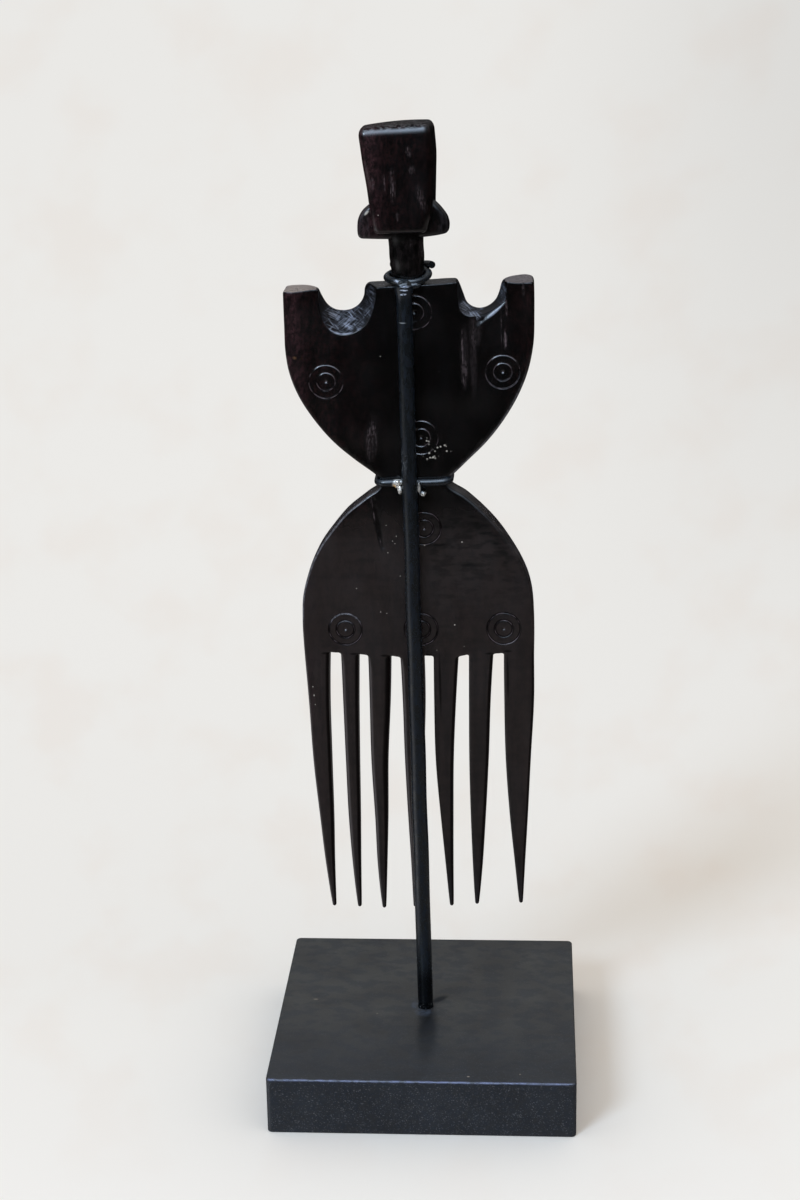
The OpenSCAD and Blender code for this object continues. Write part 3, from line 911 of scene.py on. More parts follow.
@dataclass(frozen=True)
class BlackedSteel:
    """Round steel rod and wire, welded, then brushed with satin blue-black paint.

    The paint gives soft blue-black highlights, and the welds show bare bright metal where it missed, painted
    near white as a painted highlight. Patches are rows of x, z, half width and half height in millimetres,
    then the turn in degrees where one leans.
    """

    paint: str = "#0b0f12"
    navy: str = "#070e16"
    foot: str = "#020203"
    glint: str = "#b4c2da"
    # bare weld metal, painted near white as a painted highlight
    bare: str = "#e4e2de"
    brass: str = "#c79a4e"
    scratch: str = "#8f979f"
    roughness: float = 0.28
    # where the welds show bare metal, painted near white as a painted highlight
    left_weld: Patch = (-3.1, 147.2, 1.6, 2.8)
    right_drop: Patch = (3.5, 145.0, 1.0, 0.9)
    right_weld: Patch = (2.3, 146.6, 0.5, 2.0)
    brass_drop: Patch = (-4.0, 147.2, 0.7, 0.9)
    scratched: Patch = (-0.5, 189.3, 1.1, 0.16)
    # painted glints on the top weld
    weld_ripple_glints: Patches = (
        (0.4, 198.3, 1.5, 0.36), (0.2, 197.45, 1.5, 0.26, 4.0), (-0.1, 196.4, 1.1, 0.3, -4.0),
        (-2.1, 199.35, 1.3, 0.42, 20.0),
    )

    def material(self) -> bpy.types.Material:
        """The node material: paint, bare welds painted near white as a painted highlight, painted glints on
        the top weld, then a scratch, pale flecks on the foot bead and dust.

        Returns:
            The material.
        """
        made = bpy.data.materials.new("blacked_steel")
        made.use_nodes = True
        g = Graph(made.node_tree)
        place = g.upright()
        x, y, z = (g.add("SeparateXYZ", {0: place}, out=k) for k in range(3))
        film = g.stretched(place, (1.2, 1.2, 3.0), 3.0)
        fine = g.stretched(place, (0.45, 0.45, 0.45), 2.0)
        body = g.layer(linear(self.paint), self.navy, g.step(film, 0.35, 0.65))
        body = g.layer(body, self.foot, g.step(z, 15.0, 8.0), 0.85)
        # bare metal where the paint missed, painted near white as a painted highlight
        left = g.times(g.spot(place, *self.left_weld), g.step(x, -1.9, -2.2))
        missed = g.sum(left, g.spot(place, *self.right_drop), g.times(g.spot(place, *self.right_weld), 0.4))
        missed = g.times(missed, g.step(y, 1.4, 0.9), g.step(fine, 0.36, 0.5))
        body = g.layer(body, self.bare, missed)
        body = g.layer(body, self.brass, g.spot(place, *self.brass_drop), missed)
        # painted glints on the top weld
        ripples = g.times(
            g.spots(place, *self.weld_ripple_glints), g.step(y, 1.2, 0.6),
            g.step(g.stretched(place, (0.42, 0.42, 0.3), 1.0), 0.42, 0.52, 0.05, 1.0),
        )
        body = g.layer(body, self.glint, ripples, 0.8)
        # a scratch, and pale flecks on the foot bead
        nicks = g.sum(
            g.spot(place, *self.scratched),
            g.times(g.within(z, 0.1, 1.5, 0.2), g.step(fine, 0.56, 0.7), 0.35),
        )
        dust = g.times(
            g.within(z, 151.0, 156.0, 1.5), g.step(x, 0.0, -1.2),
            g.step(g.stretched(place, (0.3, 0.3, 0.3), 2.0), 0.6, 0.68),
        )
        body = g.layer(body, self.scratch, g.sum(nicks, dust), 0.7)
        rough = g.step(film, 0.3, 0.7, self.roughness - 0.05, self.roughness + 0.08)
        relief = g.add("Bump", {"Strength": 0.3, "Distance": 0.06 * MM, "Height": film})
        inputs = {"Base Color": body, "Roughness": rough, "Normal": relief, "Metallic": g.times(missed, 0.5)}
        low_down = g.sum(0.5, g.step(z, 15.0, 8.0, 0.0, -0.36), g.step(z, 2.2, 1.4, 0.0, -0.1))
        inputs["Specular IOR Level"] = low_down
        g.finish(g.add("BsdfPrincipled", inputs))
        return made


@dataclass(frozen=True)
class MattBlackPaint:
    """Wooden block sprayed with matt black paint.

    Dust grains in the dry paint give a fine speckle. Painted shade darkens it towards the front and on the
    upright sides, which are also bluer, and a painted highlight runs along the front top edge.
    Patches lie on the top: rows of x, y and two half sizes in millimetres, then the turn in degrees.
    """

    paint: str = "#2d2c2a"
    cloud: str = "#353431"
    # colour of the stains, and of the painted shade towards the front
    shade: str = "#1e1f22"
    # painted shade on the upright sides
    navy: str = "#161c24"
    speck: str = "#62646a"
    # painted highlight along the front top edge
    edge: str = "#4e5672"
    chip: str = "#b5a99c"
    scratch: str = "#17171a"
    mirrored: str = "#0a0d12"
    spatter: str = "#3d4654"
    roughness: float = 0.4
    clouds: Sizes = (13.0, 13.0, 13.0)
    stains: Sizes = (5.0, 3.5, 5.0)
    grains: Sizes = (0.35, 0.35, 0.35)
    chips: Patches = (
        (12.2, -37.0, 0.5, 0.35), (-13.5, -4.5, 0.35, 0.25), (25.5, -35.5, 0.3, 0.3), (-31.0, 3.0, 0.9, 0.3),
    )
    scratched: Patch = (25.5, -30.0, 6.0, 0.2, 2.0)
    # painted reflection of the rod before it, and painted shadow beside it
    rod_reflection: Patch = (0.6, -16.0, 3.6, 22.0)
    rod_shadow: Patch = (3.1, 3.8, 3.9, 1.6, -45.0)
    spatters: Patches = ((-1.0, -3.4, 3.0, 3.0), (-3.4, 0.4, 1.5, 2.4))

    def material(self) -> bpy.types.Material:
        """The node material: cloudy paint with stains, speckle and chips, painted shade and an edge
        highlight, and the rod's dull mirror image and its shadow, both painted on the top.

        Returns:
            The material.
        """
        made = bpy.data.materials.new("matt_black_paint")
        made.use_nodes = True
        g = Graph(made.node_tree)
        here = g.add("TexCoord", out="Object")
        place = g.add("Mapping", {"Vector": here, "Scale": (1 / MM, 1 / MM, 1 / MM)})
        x, y, z = (g.add("SeparateXYZ", {0: place}, out=k) for k in range(3))
        rise = g.add("SeparateXYZ", {0: g.add("NewGeometry", out="Normal")}, out=2)
        side = g.step(g.add("Math", {0: rise}, operation="ABSOLUTE"), 0.6, 0.2)
        cloud = g.stretched(place, self.clouds, 4.0)
        grit = g.stretched(place, self.grains, 2.0)
        blot = g.stretched(place, (1.1, 1.1, 1.1), 3.0)
        body = g.layer(linear(self.paint), self.cloud, g.step(cloud, 0.35, 0.65))
        # painted shade: darker towards the front
        body = g.layer(body, self.shade, g.step(y, 5.0, -39.0), 0.8)
        stain = g.stretched(place, self.stains, 3.0)
        body = g.layer(body, self.shade, g.step(stain, 0.44, 0.6, 0.0, 0.6))
        # painted shade: the upright sides darker and bluer
        body = g.layer(body, self.navy, side, g.step(blot, 0.3, 0.7, 0.5, 1.0))
        body = g.layer(body, self.speck, g.step(grit, 0.58, 0.74), g.sum(0.34, g.times(side, 0.3)))
        # painted highlight along the front top edge
        body = g.layer(
            body, self.edge, g.step(y, -39.35, -39.65), g.step(z, 14.95, 15.2),
            g.step(g.stretched(place, (2.0, 0.8, 0.8), 4.0), 0.36, 0.6, 0.1, 1.0),
        )
        flat = g.add("CombineXYZ", {0: x, 1: 0.0, 2: y})
        for chip in self.chips:
            body = g.layer(body, self.chip, g.spot(flat, *chip), 0.45)
        body = g.layer(body, self.scratch, g.spot(flat, *self.scratched), 0.6)
        # painted reflection of the rod before it, and painted shadow beside it
        before = g.times(g.spot(flat, *self.rod_reflection), g.step(y, -34.0, -6.0, 0.3, 0.75))
        foot = g.sum(before, g.times(g.spot(flat, *self.rod_shadow), 0.9))
        body = g.layer(body, self.mirrored, foot)
        spatter = g.sum(*(g.spot(flat, *patch) for patch in self.spatters))
        body = g.layer(body, self.spatter, spatter, g.step(blot, 0.36, 0.6, 0.1, 0.8))
        rough = g.step(cloud, 0.3, 0.7, self.roughness - 0.04, self.roughness + 0.06)
        rough = g.sum(rough, g.step(stain, 0.4, 0.6, -0.03, 0.04))
        relief = g.add("Bump", {"Strength": 0.3, "Distance": 0.05 * MM, "Height": grit})
        inputs = {"Base Color": body, "Roughness": rough, "Normal": relief}
        inputs["Specular IOR Level"] = g.sum(0.5, g.times(foot, -0.3))
        g.finish(g.add("BsdfPrincipled", inputs))
        return made


@dataclass(frozen=True)
class PalePaper:
    """Heavy cotton paper under the stand, pale and warm, with faint blotches in it.

    reach and height are how far before the stand and how high above the sheet one stands, in metres.
    """

    sheet: str = "#ecebe8"
    warm: str = "#e9e3dd"
    lit: str = "#f5f4f2"
    unlit: str = "#000000"
    reach: float = 0.55
    height: float = 0.309

    def material(self) -> bpy.types.Material:
        """The node material.

        The blotches and the painted fall of the light, brighter close before the stand and painted shade to
        the right and the back, grow with the distance from where one stands before the sheet, so they are
        laid out by the angle at which a spot is seen from there.

        Returns:
            The material.
        """
        made = bpy.data.materials.new("pale_paper")
        made.use_nodes = True
        g = Graph(made.node_tree)
        place = g.add("TexCoord", out="Object")
        x, y = (g.add("SeparateXYZ", {0: place}, out=k) for k in range(2))
        away = g.add("Math", {0: g.sum(y, self.reach), 1: 0.2}, operation="MAXIMUM")
        side = g.add("Math", {0: x, 1: away}, operation="DIVIDE")
        fall = g.add("Math", {0: self.height, 1: away}, operation="DIVIDE")
        seen = g.add("CombineXYZ", {0: side, 1: fall, 2: 0.0})
        blotch = g.add("TexNoise", {"Vector": seen, "Scale": 22.0, "Detail": 3.0})
        # painted shade: the sheet darker to the right and at the back, and a little far away
        dark = g.times(g.step(side, -0.03, 0.15), g.step(fall, 0.5, 0.05), 0.13)
        dark = g.sum(dark, g.step(fall, 0.3, 0.05, 0.0, 0.02))
        body = g.layer(linear(self.sheet), self.warm, g.step(blotch, 0.44, 0.7, 0.0, 0.5))
        # painted light: the sheet brighter close before the stand
        body = g.layer(body, self.lit, g.step(fall, 0.5, 0.72))
        body = g.layer(body, self.unlit, dark)
        g.finish(g.add("BsdfPrincipled", {"Base Color": body, "Roughness": 1.0, "Specular IOR Level": 0.0}))
        return made


@dataclass(frozen=True)
class Run:
    """One stretch of a plate's outline, as seen from the front, going round against the clock.

    near and far are its knots on the two faces, spacing the distance between points, rim the radius of the
    rounded edge, corner the length cut off at its end to round the corner with the next run, and belly how
    far the side wall stands out between the faces.
    """

    near: Knots
    far: Knots | None = None
    spacing: float = 0.8
    rim: float = 0.5
    corner: float = 0.0
    belly: float = 0.08


@dataclass(frozen=True)
class Outline:
    """A closed outline on both faces: its points, the rim's radius and the wall's belly at each."""

    near: np.ndarray
    far: np.ndarray
    rim: np.ndarray
    belly: np.ndarray

    @staticmethod
    def through(runs: list[Run]) -> "Outline":
        """Lays the runs one after another and rounds the corners between them.

        A corner is a quadratic curve from where one run is cut to where the next begins, drawn towards the
        point at which the two would meet.

        Args:
            runs: the stretches in order, round the whole plate.

        Returns:
            The closed outline.
        """
        curves = [(dense_curve(run.near), dense_curve(run.far or run.near)) for run in runs]
        sides, rims, bellies = ([], []), [], []
        for i, run in enumerate(runs):
            before, following = runs[i - 1].corner, curves[(i + 1) % len(runs)]
            length = arc_lengths(curves[i][0])[-1] - before - run.corner
            count = max(round(length / run.spacing), 2) + 1
            bend = np.linspace(0.0, 1.0, 7)[1:-1, None] if run.corner else np.empty((0, 1))
            for side, line, after in zip(sides, curves[i], following):
                points = walk(line, before, run.corner, count)
                if run.corner:
                    leave = walk(after, run.corner, 0.0, 2)[0]
                    meet = (line[-1] + after[0]) / 2
                    curve = (1 - bend) ** 2 * points[-1] + 2 * bend * (1 - bend) * meet + bend**2 * leave
                    side.append(np.concatenate([points, curve]))
                else:
                    side.append(points[:-1])
            size = len(sides[0][-1])
            rims.append(np.full(size, run.rim))
            bellies.append(np.full(size, run.belly))
        blur = np.ones(7) / 7
        rim, belly = (
            np.convolve(np.pad(np.concatenate(v), 3, mode="wrap"), blur, mode="valid")
            for v in (rims, bellies)
        )
        return Outline(np.concatenate(sides[0]), np.concatenate(sides[1]), rim, belly)


def outward(loop: np.ndarray) -> np.ndarray:
    """Unit normals of a loop that goes round against the clock.

    Each is the way from the point's one neighbour to the other, turned a quarter.

    Args:
        loop: the loop's points.

    Returns:
        One normal a point.
    """
    along = np.roll(loop, -1, 0) - np.roll(loop, 1, 0)
    along /= np.linalg.norm(along, axis=1, keepdims=True)
    return np.stack([along[:, 1], -along[:, 0]], -1)


@dataclass
class Plate:
    """A board cut to an outline, with rounded rims and a carved relief on both faces.

    The side is a grid: five rows bend over each rim on a quarter circle, and the rows between go straight
    across from face to face, pushed out by half a sine wave. Each face is a triangulated sheet inside the
    last rim row, whose height comes from the face's level.
    """

    outline: Outline
    wall_rows: int = 7

    def near_level(self, spot: np.ndarray) -> np.ndarray:
        """Depth of the near face at each x, z."""
        raise NotImplementedError

    def far_level(self, spot: np.ndarray) -> np.ndarray:
        """Depth of the far face at each x, z."""
        raise NotImplementedError

    def spots(self, loop: np.ndarray, near: bool) -> np.ndarray:
        """Points inside a face that its sheet passes through."""
        raise NotImplementedError

    def shell(self) -> Shell:
        """The closed surface of the plate.

        Each face is its outline drawn in by a quarter circle of the rim's radius, filled with triangles over
        the spots. The side wall runs straight from face to face, swollen by the belly times half a sine.

        Returns:
            The surface.
        """
        made = Shell()
        turn = np.radians([90.0, 67.5, 45.0, 22.5, 0.0])[:, None, None]
        o = self.outline
        rim = o.rim[:, None]
        faces = []
        for loop, level, sign in ((o.near, self.near_level, 1.0), (o.far, self.far_level, -1.0)):
            flat = loop - outward(loop) * rim * (1 - np.cos(turn))
            depth = level(flat.reshape(-1, 2)).reshape(flat.shape[:-1])
            depth = depth + sign * o.rim * (1 - np.sin(turn[..., 0]))
            faces.append(np.stack([flat[..., 0], depth, flat[..., 1]], -1))
        u = np.linspace(0.0, 1.0, self.wall_rows + 2)[1:-1, None, None]
        swell = (np.sin(np.pi * u) * o.belly[:, None]) * outward((o.near + o.far) / 2)
        wall = (1 - u) * faces[0][-1] + u * faces[1][-1]
        wall[..., 0] += swell[..., 0]
        wall[..., 2] += swell[..., 1]
        index = made.add(np.concatenate([faces[0], wall, faces[1][::-1]]))
        made.band(index)
        for ring, points, level, near in (
            (index[0], faces[0][0], self.near_level, True), (index[-1], faces[1][0], self.far_level, False)
        ):
            loop = points[:, [0, 2]]
            spots = self.spots(loop, near)
            flat = np.concatenate([loop, spots])
            size = len(loop)
            edges = np.stack([np.arange(size), (np.arange(size) + 1) % size], -1).tolist()
            corners = [Vector(p) for p in flat.tolist()]
            verts, _, faces_in, *_ = delaunay_2d_cdt(corners, edges, [], 1, 1e-7, False)
            if len(verts) != len(flat):
                log.warning("the sheet has %d points for %d", len(verts), len(flat))
            triangles = np.array(faces_in)
            doubt = (triangles < size).all(1)
            keep = ~doubt
            keep[doubt] = inside(flat[triangles[doubt]].mean(1), loop, 0.0)
            inner = made.add(np.stack([spots[:, 0], level(spots), spots[:, 1]], -1))
            corners = np.concatenate([ring, inner])[triangles[keep]]
            made.faces.extend((corners[:, ::-1] if near else corners).tolist())
        return made


@dataclass(frozen=True)
class Tooth:
    """Left and right edge at the root and at four heights below it, and the tip's place and height."""

    left: tuple[float, ...]
    right: tuple[float, ...]
    tip: tuple[float, float]
    heights: tuple[float, ...] = (101.2, 89.0, 71.0, 53.5, 40.0)
    tip_w: float = 1.0

    def edge(self, side: int) -> np.ndarray:
        """Knots of the left (0) or right (1) edge, from the root to the tip's side."""
        x = (self.left, self.right)[side] + (self.tip[0] + (side - 0.5) * self.tip_w,)
        return np.stack([np.array(x), np.array((*self.heights, self.tip[1]))], -1)

    def point(self) -> Knots:
        """Knots of the rounded tip, on half a circle from its left to its right.

        Returns:
            Five knots of x, z.
        """
        turn = np.radians([180.0, 215.0, 270.0, 325.0, 360.0])
        r = self.tip_w / 2
        return tuple((self.tip[0] + r * math.cos(a), self.tip[1] + r * math.sin(a)) for a in turn)


@dataclass(frozen=True)
class RingMark:
    """A ring-and-dot mark: its centre, the depth of its cuts and where round it they are deepest."""

    x: float
    z: float
    depth: float = 0.3
    heavy: float = -90.0
    rings: tuple[float, float] = (2.3, 4.28)
    half: float = 0.23
    dot: float = 0.5
    reach: float = 4.95

    def cut(self, spot: np.ndarray) -> np.ndarray:
        """Depth of the mark's cuts.

        Each ring is a V, deepest on the ring's radius and pressed unevenly round it by two cosines, and the
        dot is a cone.

        Args:
            spot: rows of x, z on the face.

        Returns:
            One depth a row.
        """
        away = spot - (self.x, self.z)
        r = np.hypot(away[:, 0], away[:, 1])
        turn = np.arctan2(away[:, 1], away[:, 0]) - math.radians(self.heavy)
        press = 0.8 + 0.2 * np.cos(turn) + 0.1 * np.cos(5 * turn + self.x)
        deep = sum(np.clip(1 - np.abs(r - ring) / self.half, 0.0, 1.0) for ring in self.rings)
        return self.depth * (press * deep + np.clip(1 - r / self.dot, 0.0, 1.0))

    def spots(self, columns: int) -> np.ndarray:
        """Points on circles about the mark, close together across each cut.

        Args:
            columns: points round each circle.

        Returns:
            Rows of x, z, with the mark's middle last.
        """
        fine = np.array([-0.34, -0.23, -0.115, 0.0, 0.115, 0.23, 0.34])
        inner, between = [0.14, 0.28, 0.5, 0.75, 1.2, 1.65], [3.0, 3.6]
        radii = np.concatenate([inner, self.rings[0] + fine, between, self.rings[1] + fine])
        turn = np.linspace(0.0, 2 * np.pi, columns, endpoint=False)
        grid = np.stack([np.cos(turn), np.sin(turn)], -1) * radii[:, None, None]
        return np.concatenate([grid.reshape(-1, 2), [[0.0, 0.0]]]) + (self.x, self.z)


LEFT_FLANK: Knots = (
    (-31.1, 197.1), (-31.2, 188.0), (-31.2, 182.0), (-30.6, 177.0), (-28.5, 170.7), (-24.9, 164.5),
    (-19.8, 158.2), (-15.1, 154.0), (-9.6, 149.7), (-8.3, 148.5), (-8.15, 147.9), (-8.4, 146.9),
    (-12.1, 143.9), (-17.4, 139.7), (-21.15, 135.4), (-24.3, 131.2), (-26.6, 126.9), (-28.3, 122.4),
    (-29.5, 117.9), (-30.0, 111.5), (-30.0, 105.0), (-29.9, 102.0),
)
RIGHT_FLANK: Knots = (
    (29.85, 100.0), (30.0, 106.0), (29.95, 112.0), (29.6, 117.4), (28.6, 121.8), (26.85, 126.1),
    (24.4, 130.5), (21.6, 134.8), (17.85, 139.2), (13.3, 143.5), (8.6, 147.0), (8.2, 147.7), (8.4, 148.2),
    (9.8, 149.3), (14.3, 153.5), (18.5, 157.6), (23.3, 163.7), (26.9, 169.8), (29.35, 175.9), (30.65, 182.0),
    (31.0, 190.0), (31.0, 198.3),
)
RIGHT_SHOULDER = Run(
    ((31.0, 198.3), (28.8, 198.0), (26.9, 198.0), (25.2, 198.2), (23.7, 198.4)),
    ((31.0, 198.4), (29.6, 198.8), (26.8, 198.7), (24.7, 198.3), (23.3, 197.7)), 0.5, 0.3, 0.7, 0.0,
)
RIGHT_NOTCH = Run(
    ((23.7, 198.4), (23.8, 196.1), (23.5, 193.6), (21.9, 192.0), (20.1, 191.0), (18.2, 190.2), (16.1, 190.0),
     (14.2, 190.3), (12.9, 191.3), (12.2, 193.6), (12.1, 196.1), (12.3, 198.5)),
    ((23.3, 197.7), (22.9, 196.7), (22.4, 194.9), (21.5, 192.9), (19.5, 191.2), (17.7, 190.7), (15.7, 191.1),
     (14.5, 192.0), (13.3, 194.8), (12.55, 196.9), (11.9, 198.3)), 0.3, 0.22, 0.7, -0.2,
)
CENTRE_TOP = Run(
    ((12.3, 198.5), (6.7, 198.1), (0.0, 197.9), (-7.9, 197.6)),
    ((11.9, 198.3), (8.9, 198.3), (5.9, 198.15), (-6.4, 197.95), (-10.4, 197.8)), 0.6, 0.3, 0.9, 0.0,
)
LEFT_NOTCH = Run(
    ((-7.9, 197.6), (-7.95, 196.3), (-8.2, 194.3), (-8.8, 192.1), (-9.7, 189.9), (-11.1, 188.1),
     (-13.2, 186.7), (-15.2, 186.0), (-17.4, 186.0), (-19.2, 186.7), (-20.9, 188.5), (-22.0, 192.0),
     (-22.3, 194.6), (-22.3, 197.4)),
    ((-10.4, 197.8), (-11.15, 196.5), (-11.55, 194.3), (-12.6, 192.5), (-14.7, 191.1), (-17.0, 190.8),
     (-18.8, 191.1), (-20.5, 192.2), (-22.0, 194.5), (-22.8, 196.5)), 0.3, 0.22, 0.7, -0.35,
)
LEFT_SHOULDER = Run(
    ((-22.3, 197.4), (-24.3, 197.3), (-26.8, 197.0), (-29.3, 196.8), (-31.1, 197.1)),
    ((-22.8, 196.5), (-25.0, 197.2), (-27.5, 197.4), (-31.2, 197.1)), 0.5, 0.3, 0.7, 0.0,
)
TEETH = (
    Tooth((-29.8, -29.4, -28.95, -27.9, -27.0), (-23.5, -24.1, -24.3, -24.4, -24.7), (-25.3, 28.2)),
    Tooth((-20.4, -20.4, -20.4, -20.3, -19.75), (-15.9, -16.4, -16.85, -17.2, -17.6), (-18.4, 27.9)),
    Tooth((-13.3, -13.4, -13.6, -13.2, -13.0), (-7.5, -8.0, -9.2, -9.8, -10.5), (-11.7, 27.5)),
    Tooth((-4.9, -4.7, -4.65, -4.3, -3.9), (1.1, 1.15, 0.3, -0.75, -1.6), (-3.2, 27.8)),
    Tooth((3.8, 3.6, 3.55, 4.5, 5.4), (10.2, 9.3, 8.2, 7.7, 7.4), (6.7, 28.1)),
    Tooth((13.0, 12.75, 12.45, 12.5, 12.75), (19.3, 18.4, 17.5, 16.35, 15.3), (13.6, 28.6)),
    Tooth((22.1, 22.0, 22.1, 23.0, 24.1), (29.9, 29.75, 28.65, 27.6, 26.7), (25.5, 28.9)),
)
GAP_TOPS: Knots = (
    (102.0, 102.0), (101.4, 101.3), (100.7, 100.7), (100.8, 100.9), (100.4, 101.2), (101.1, 101.5),
)
MARKS = (
    RingMark(-21.3, 174.1), RingMark(23.0, 175.8),
    RingMark(1.4, 191.2, 0.26, -60.0), RingMark(2.2, 159.4, 0.24, -20.0),
    RingMark(2.3, 135.5, 0.26, 0.0), RingMark(-18.9, 108.5, 0.3, -120.0), RingMark(0.8, 108.3, 0.24, 0.0),
    RingMark(22.2, 108.2, 0.26, 150.0),
)
GOUGE: Knots = ((-10.8, 144.9), (-10.3, 142.3), (-10.0, 139.4), (-9.6, 136.4), (-9.0, 133.2), (-8.5, 130.6))


@dataclass
class Blade(Plate):
    """Shield, waist, dome and teeth, carved from one board with marks on both faces."""

    middle: float = 5.8
    thick: float = 7.5
    tip_t: float = 1.2
    root_z: float = 101.2
    tip_z: float = 28.2
    facet_at: tuple[float, float] = (17.7, 187.6)
    facet_heading: tuple[float, float] = (-0.654, 0.756)
    facet_slope: float = 0.62
    facet_deep: float = 1.1
    gouge_at: tuple[float, float] = (-9.5, 137.7)
    gouge_deep: float = 0.12
    gouge_half: float = 0.5

    @staticmethod
    def carved() -> "Blade":
        """The blade with the outline seen in the photograph.

        The runs go down one side of each tooth, round its tip, up the other side and across the gap, and
        close over the flanks, the shoulders and the notches.

        Returns:
            The blade.
        """
        step, gap_step, rounding = 0.9, 0.3, 0.8
        left_rims = (0.55, 1.1, 1.1, 1.1, 0.55, 0.55, 0.55)
        right_rims = (1.0, 1.0, 1.7, 1.0, 1.0, 1.0, 0.8)
        runs = []
        for i, tooth in enumerate(TEETH):
            left = tooth.edge(0)
            knots = np.concatenate([LEFT_FLANK, left[1:]]) if i == 0 else left
            if i > 0:
                knots = np.concatenate([[[left[0, 0], GAP_TOPS[i - 1][1]]], left[1:]])
            runs.append(Run(tuple(map(tuple, knots)), spacing=step, rim=left_rims[i]))
            runs.append(Run(tooth.point(), spacing=0.2, rim=0.4, belly=0.0))
            right = tooth.edge(1)[::-1]
            if i == len(TEETH) - 1:
                knots = np.concatenate([right[:-1], RIGHT_FLANK])
                runs.append(Run(tuple(map(tuple, knots)), spacing=step, rim=right_rims[i], corner=rounding))
                break
            top = GAP_TOPS[i]
            knots = np.concatenate([right[:-1], [[right[-1, 0], top[0]]]])
            runs.append(Run(tuple(map(tuple, knots)), spacing=step, rim=right_rims[i], corner=rounding))
            gap = ((right[-1, 0], top[0]), (TEETH[i + 1].left[0], top[1]))
            runs.append(Run(gap, spacing=gap_step, rim=0.3, corner=rounding, belly=0.0))
        runs += [RIGHT_SHOULDER, RIGHT_NOTCH, CENTRE_TOP, LEFT_NOTCH, LEFT_SHOULDER]
        outline = Outline.through(runs)
        z = outline.near[:, 1]
        limit = 0.38 + 0.032 * np.clip(z - Blade.tip_z, 0.0, 60.0)
        return Blade(Outline(outline.near, outline.far, np.minimum(outline.rim, limit), outline.belly))

    def half(self, z: np.ndarray) -> np.ndarray:
        """Half the thickness at each height: full in the body, then thinning towards the tips."""
        t = np.clip((self.root_z - z) / (self.root_z - self.tip_z), 0.0, 1.0)
        return (self.thick + (self.tip_t - self.thick) * t**1.6) / 2

    def swell(self, spot: np.ndarray, seed: int) -> np.ndarray:
        """Unevenness that the knife and file left, fading out down the teeth."""
        fade = 0.2 + 0.8 * ease(spot[:, 1], 40.0, 100.0)
        return fade * (0.05 * waves(spot, 14.0, 7, seed) + 0.018 * waves(spot * (1.0, 0.3), 3.5, 9, seed + 1))

    def facet(self, spot: np.ndarray) -> np.ndarray:
        """Depth of the flat cut under the right notch.

        A plane that sinks from its ridge line towards the upper left, kept shallow at the floor's edge and
        let out softly to the left.

        Args:
            spot: rows of x, z on the near face.

        Returns:
            One depth a row.
        """
        away = (spot - self.facet_at) @ np.array(self.facet_heading)
        deep = np.clip(self.facet_slope * away, 0.0, self.facet_deep)
        side = ease(spot[:, 0], 24.6, 23.6) * ease(spot[:, 0], 15.8, 18.2)
        return deep * side * ease(spot[:, 1], 186.0, 188.5)

    def near_level(self, spot: np.ndarray) -> np.ndarray:
        """Depth of the near face, with its marks, cut facet and gouge.

        The gouge is a bell curve across its line, roughened by waves.

        Args:
            spot: rows of x, z on the face.

        Returns:
            One y a row.
        """
        cuts = sum(mark.cut(spot) for mark in MARKS) + self.facet(spot)
        close = np.abs(spot - self.gouge_at).max(1) < 11.0
        gouge = np.zeros(len(spot))
        if close.any():
            bell = np.exp(-(distance_to_line(spot[close], np.array(GOUGE)) / self.gouge_half) ** 2)
            gouge[close] = self.gouge_deep * bell * (1 + 0.4 * waves(spot[close], 2.4, 4, 5))
        return self.middle - self.half(spot[:, 1]) + self.swell(spot, 11) + cuts + gouge

    def far_level(self, spot: np.ndarray) -> np.ndarray:
        """Depth of the far face, with its marks."""
        cuts = sum(mark.cut(spot) for mark in MARKS)
        return self.middle + self.half(spot[:, 1]) - self.swell(spot, 31) - cuts

    def spots(self, loop: np.ndarray, near: bool) -> np.ndarray:
        """A grid at about one millimetre, finer at the gouge and the facet, and circles about each mark.

        Args:
            loop: the face's own edge.
            near: True for the near face.

        Returns:
            Rows of x, z inside the face.
        """
        low, high = loop.min(0), loop.max(0)
        coarse = hex_grid(low, high, 1.05)
        parts = []
        if near:
            fine = hex_grid(low, high, 0.36)
            fine = fine[self.is_fine(fine)]
            coarse = coarse[~self.is_fine(coarse)]
            parts.append(fine[inside(fine, loop, 0.2)])
        parts.append(coarse[inside(coarse, loop, 0.45)])
        grid = np.concatenate(parts)
        for mark in MARKS:
            grid = grid[np.hypot(*(grid - (mark.x, mark.z)).T) > mark.reach]
        return np.concatenate([grid, *(mark.spots(64 if near else 44) for mark in MARKS)])

    def is_fine(self, spot: np.ndarray) -> np.ndarray:
        """Which points lie where the near face needs the finer grid.

        Args:
            spot: rows of x, z.

        Returns:
            True for each point under the right notch or close to the gouge.
        """
        notch = (spot[:, 0] > 11.0) & (spot[:, 0] < 25.5) & (spot[:, 1] > 185.5)
        close = np.abs(spot - self.gouge_at).max(1) < 10.0
        close[close] = distance_to_line(spot[close], np.array(GOUGE)) < 1.3
        return notch | close


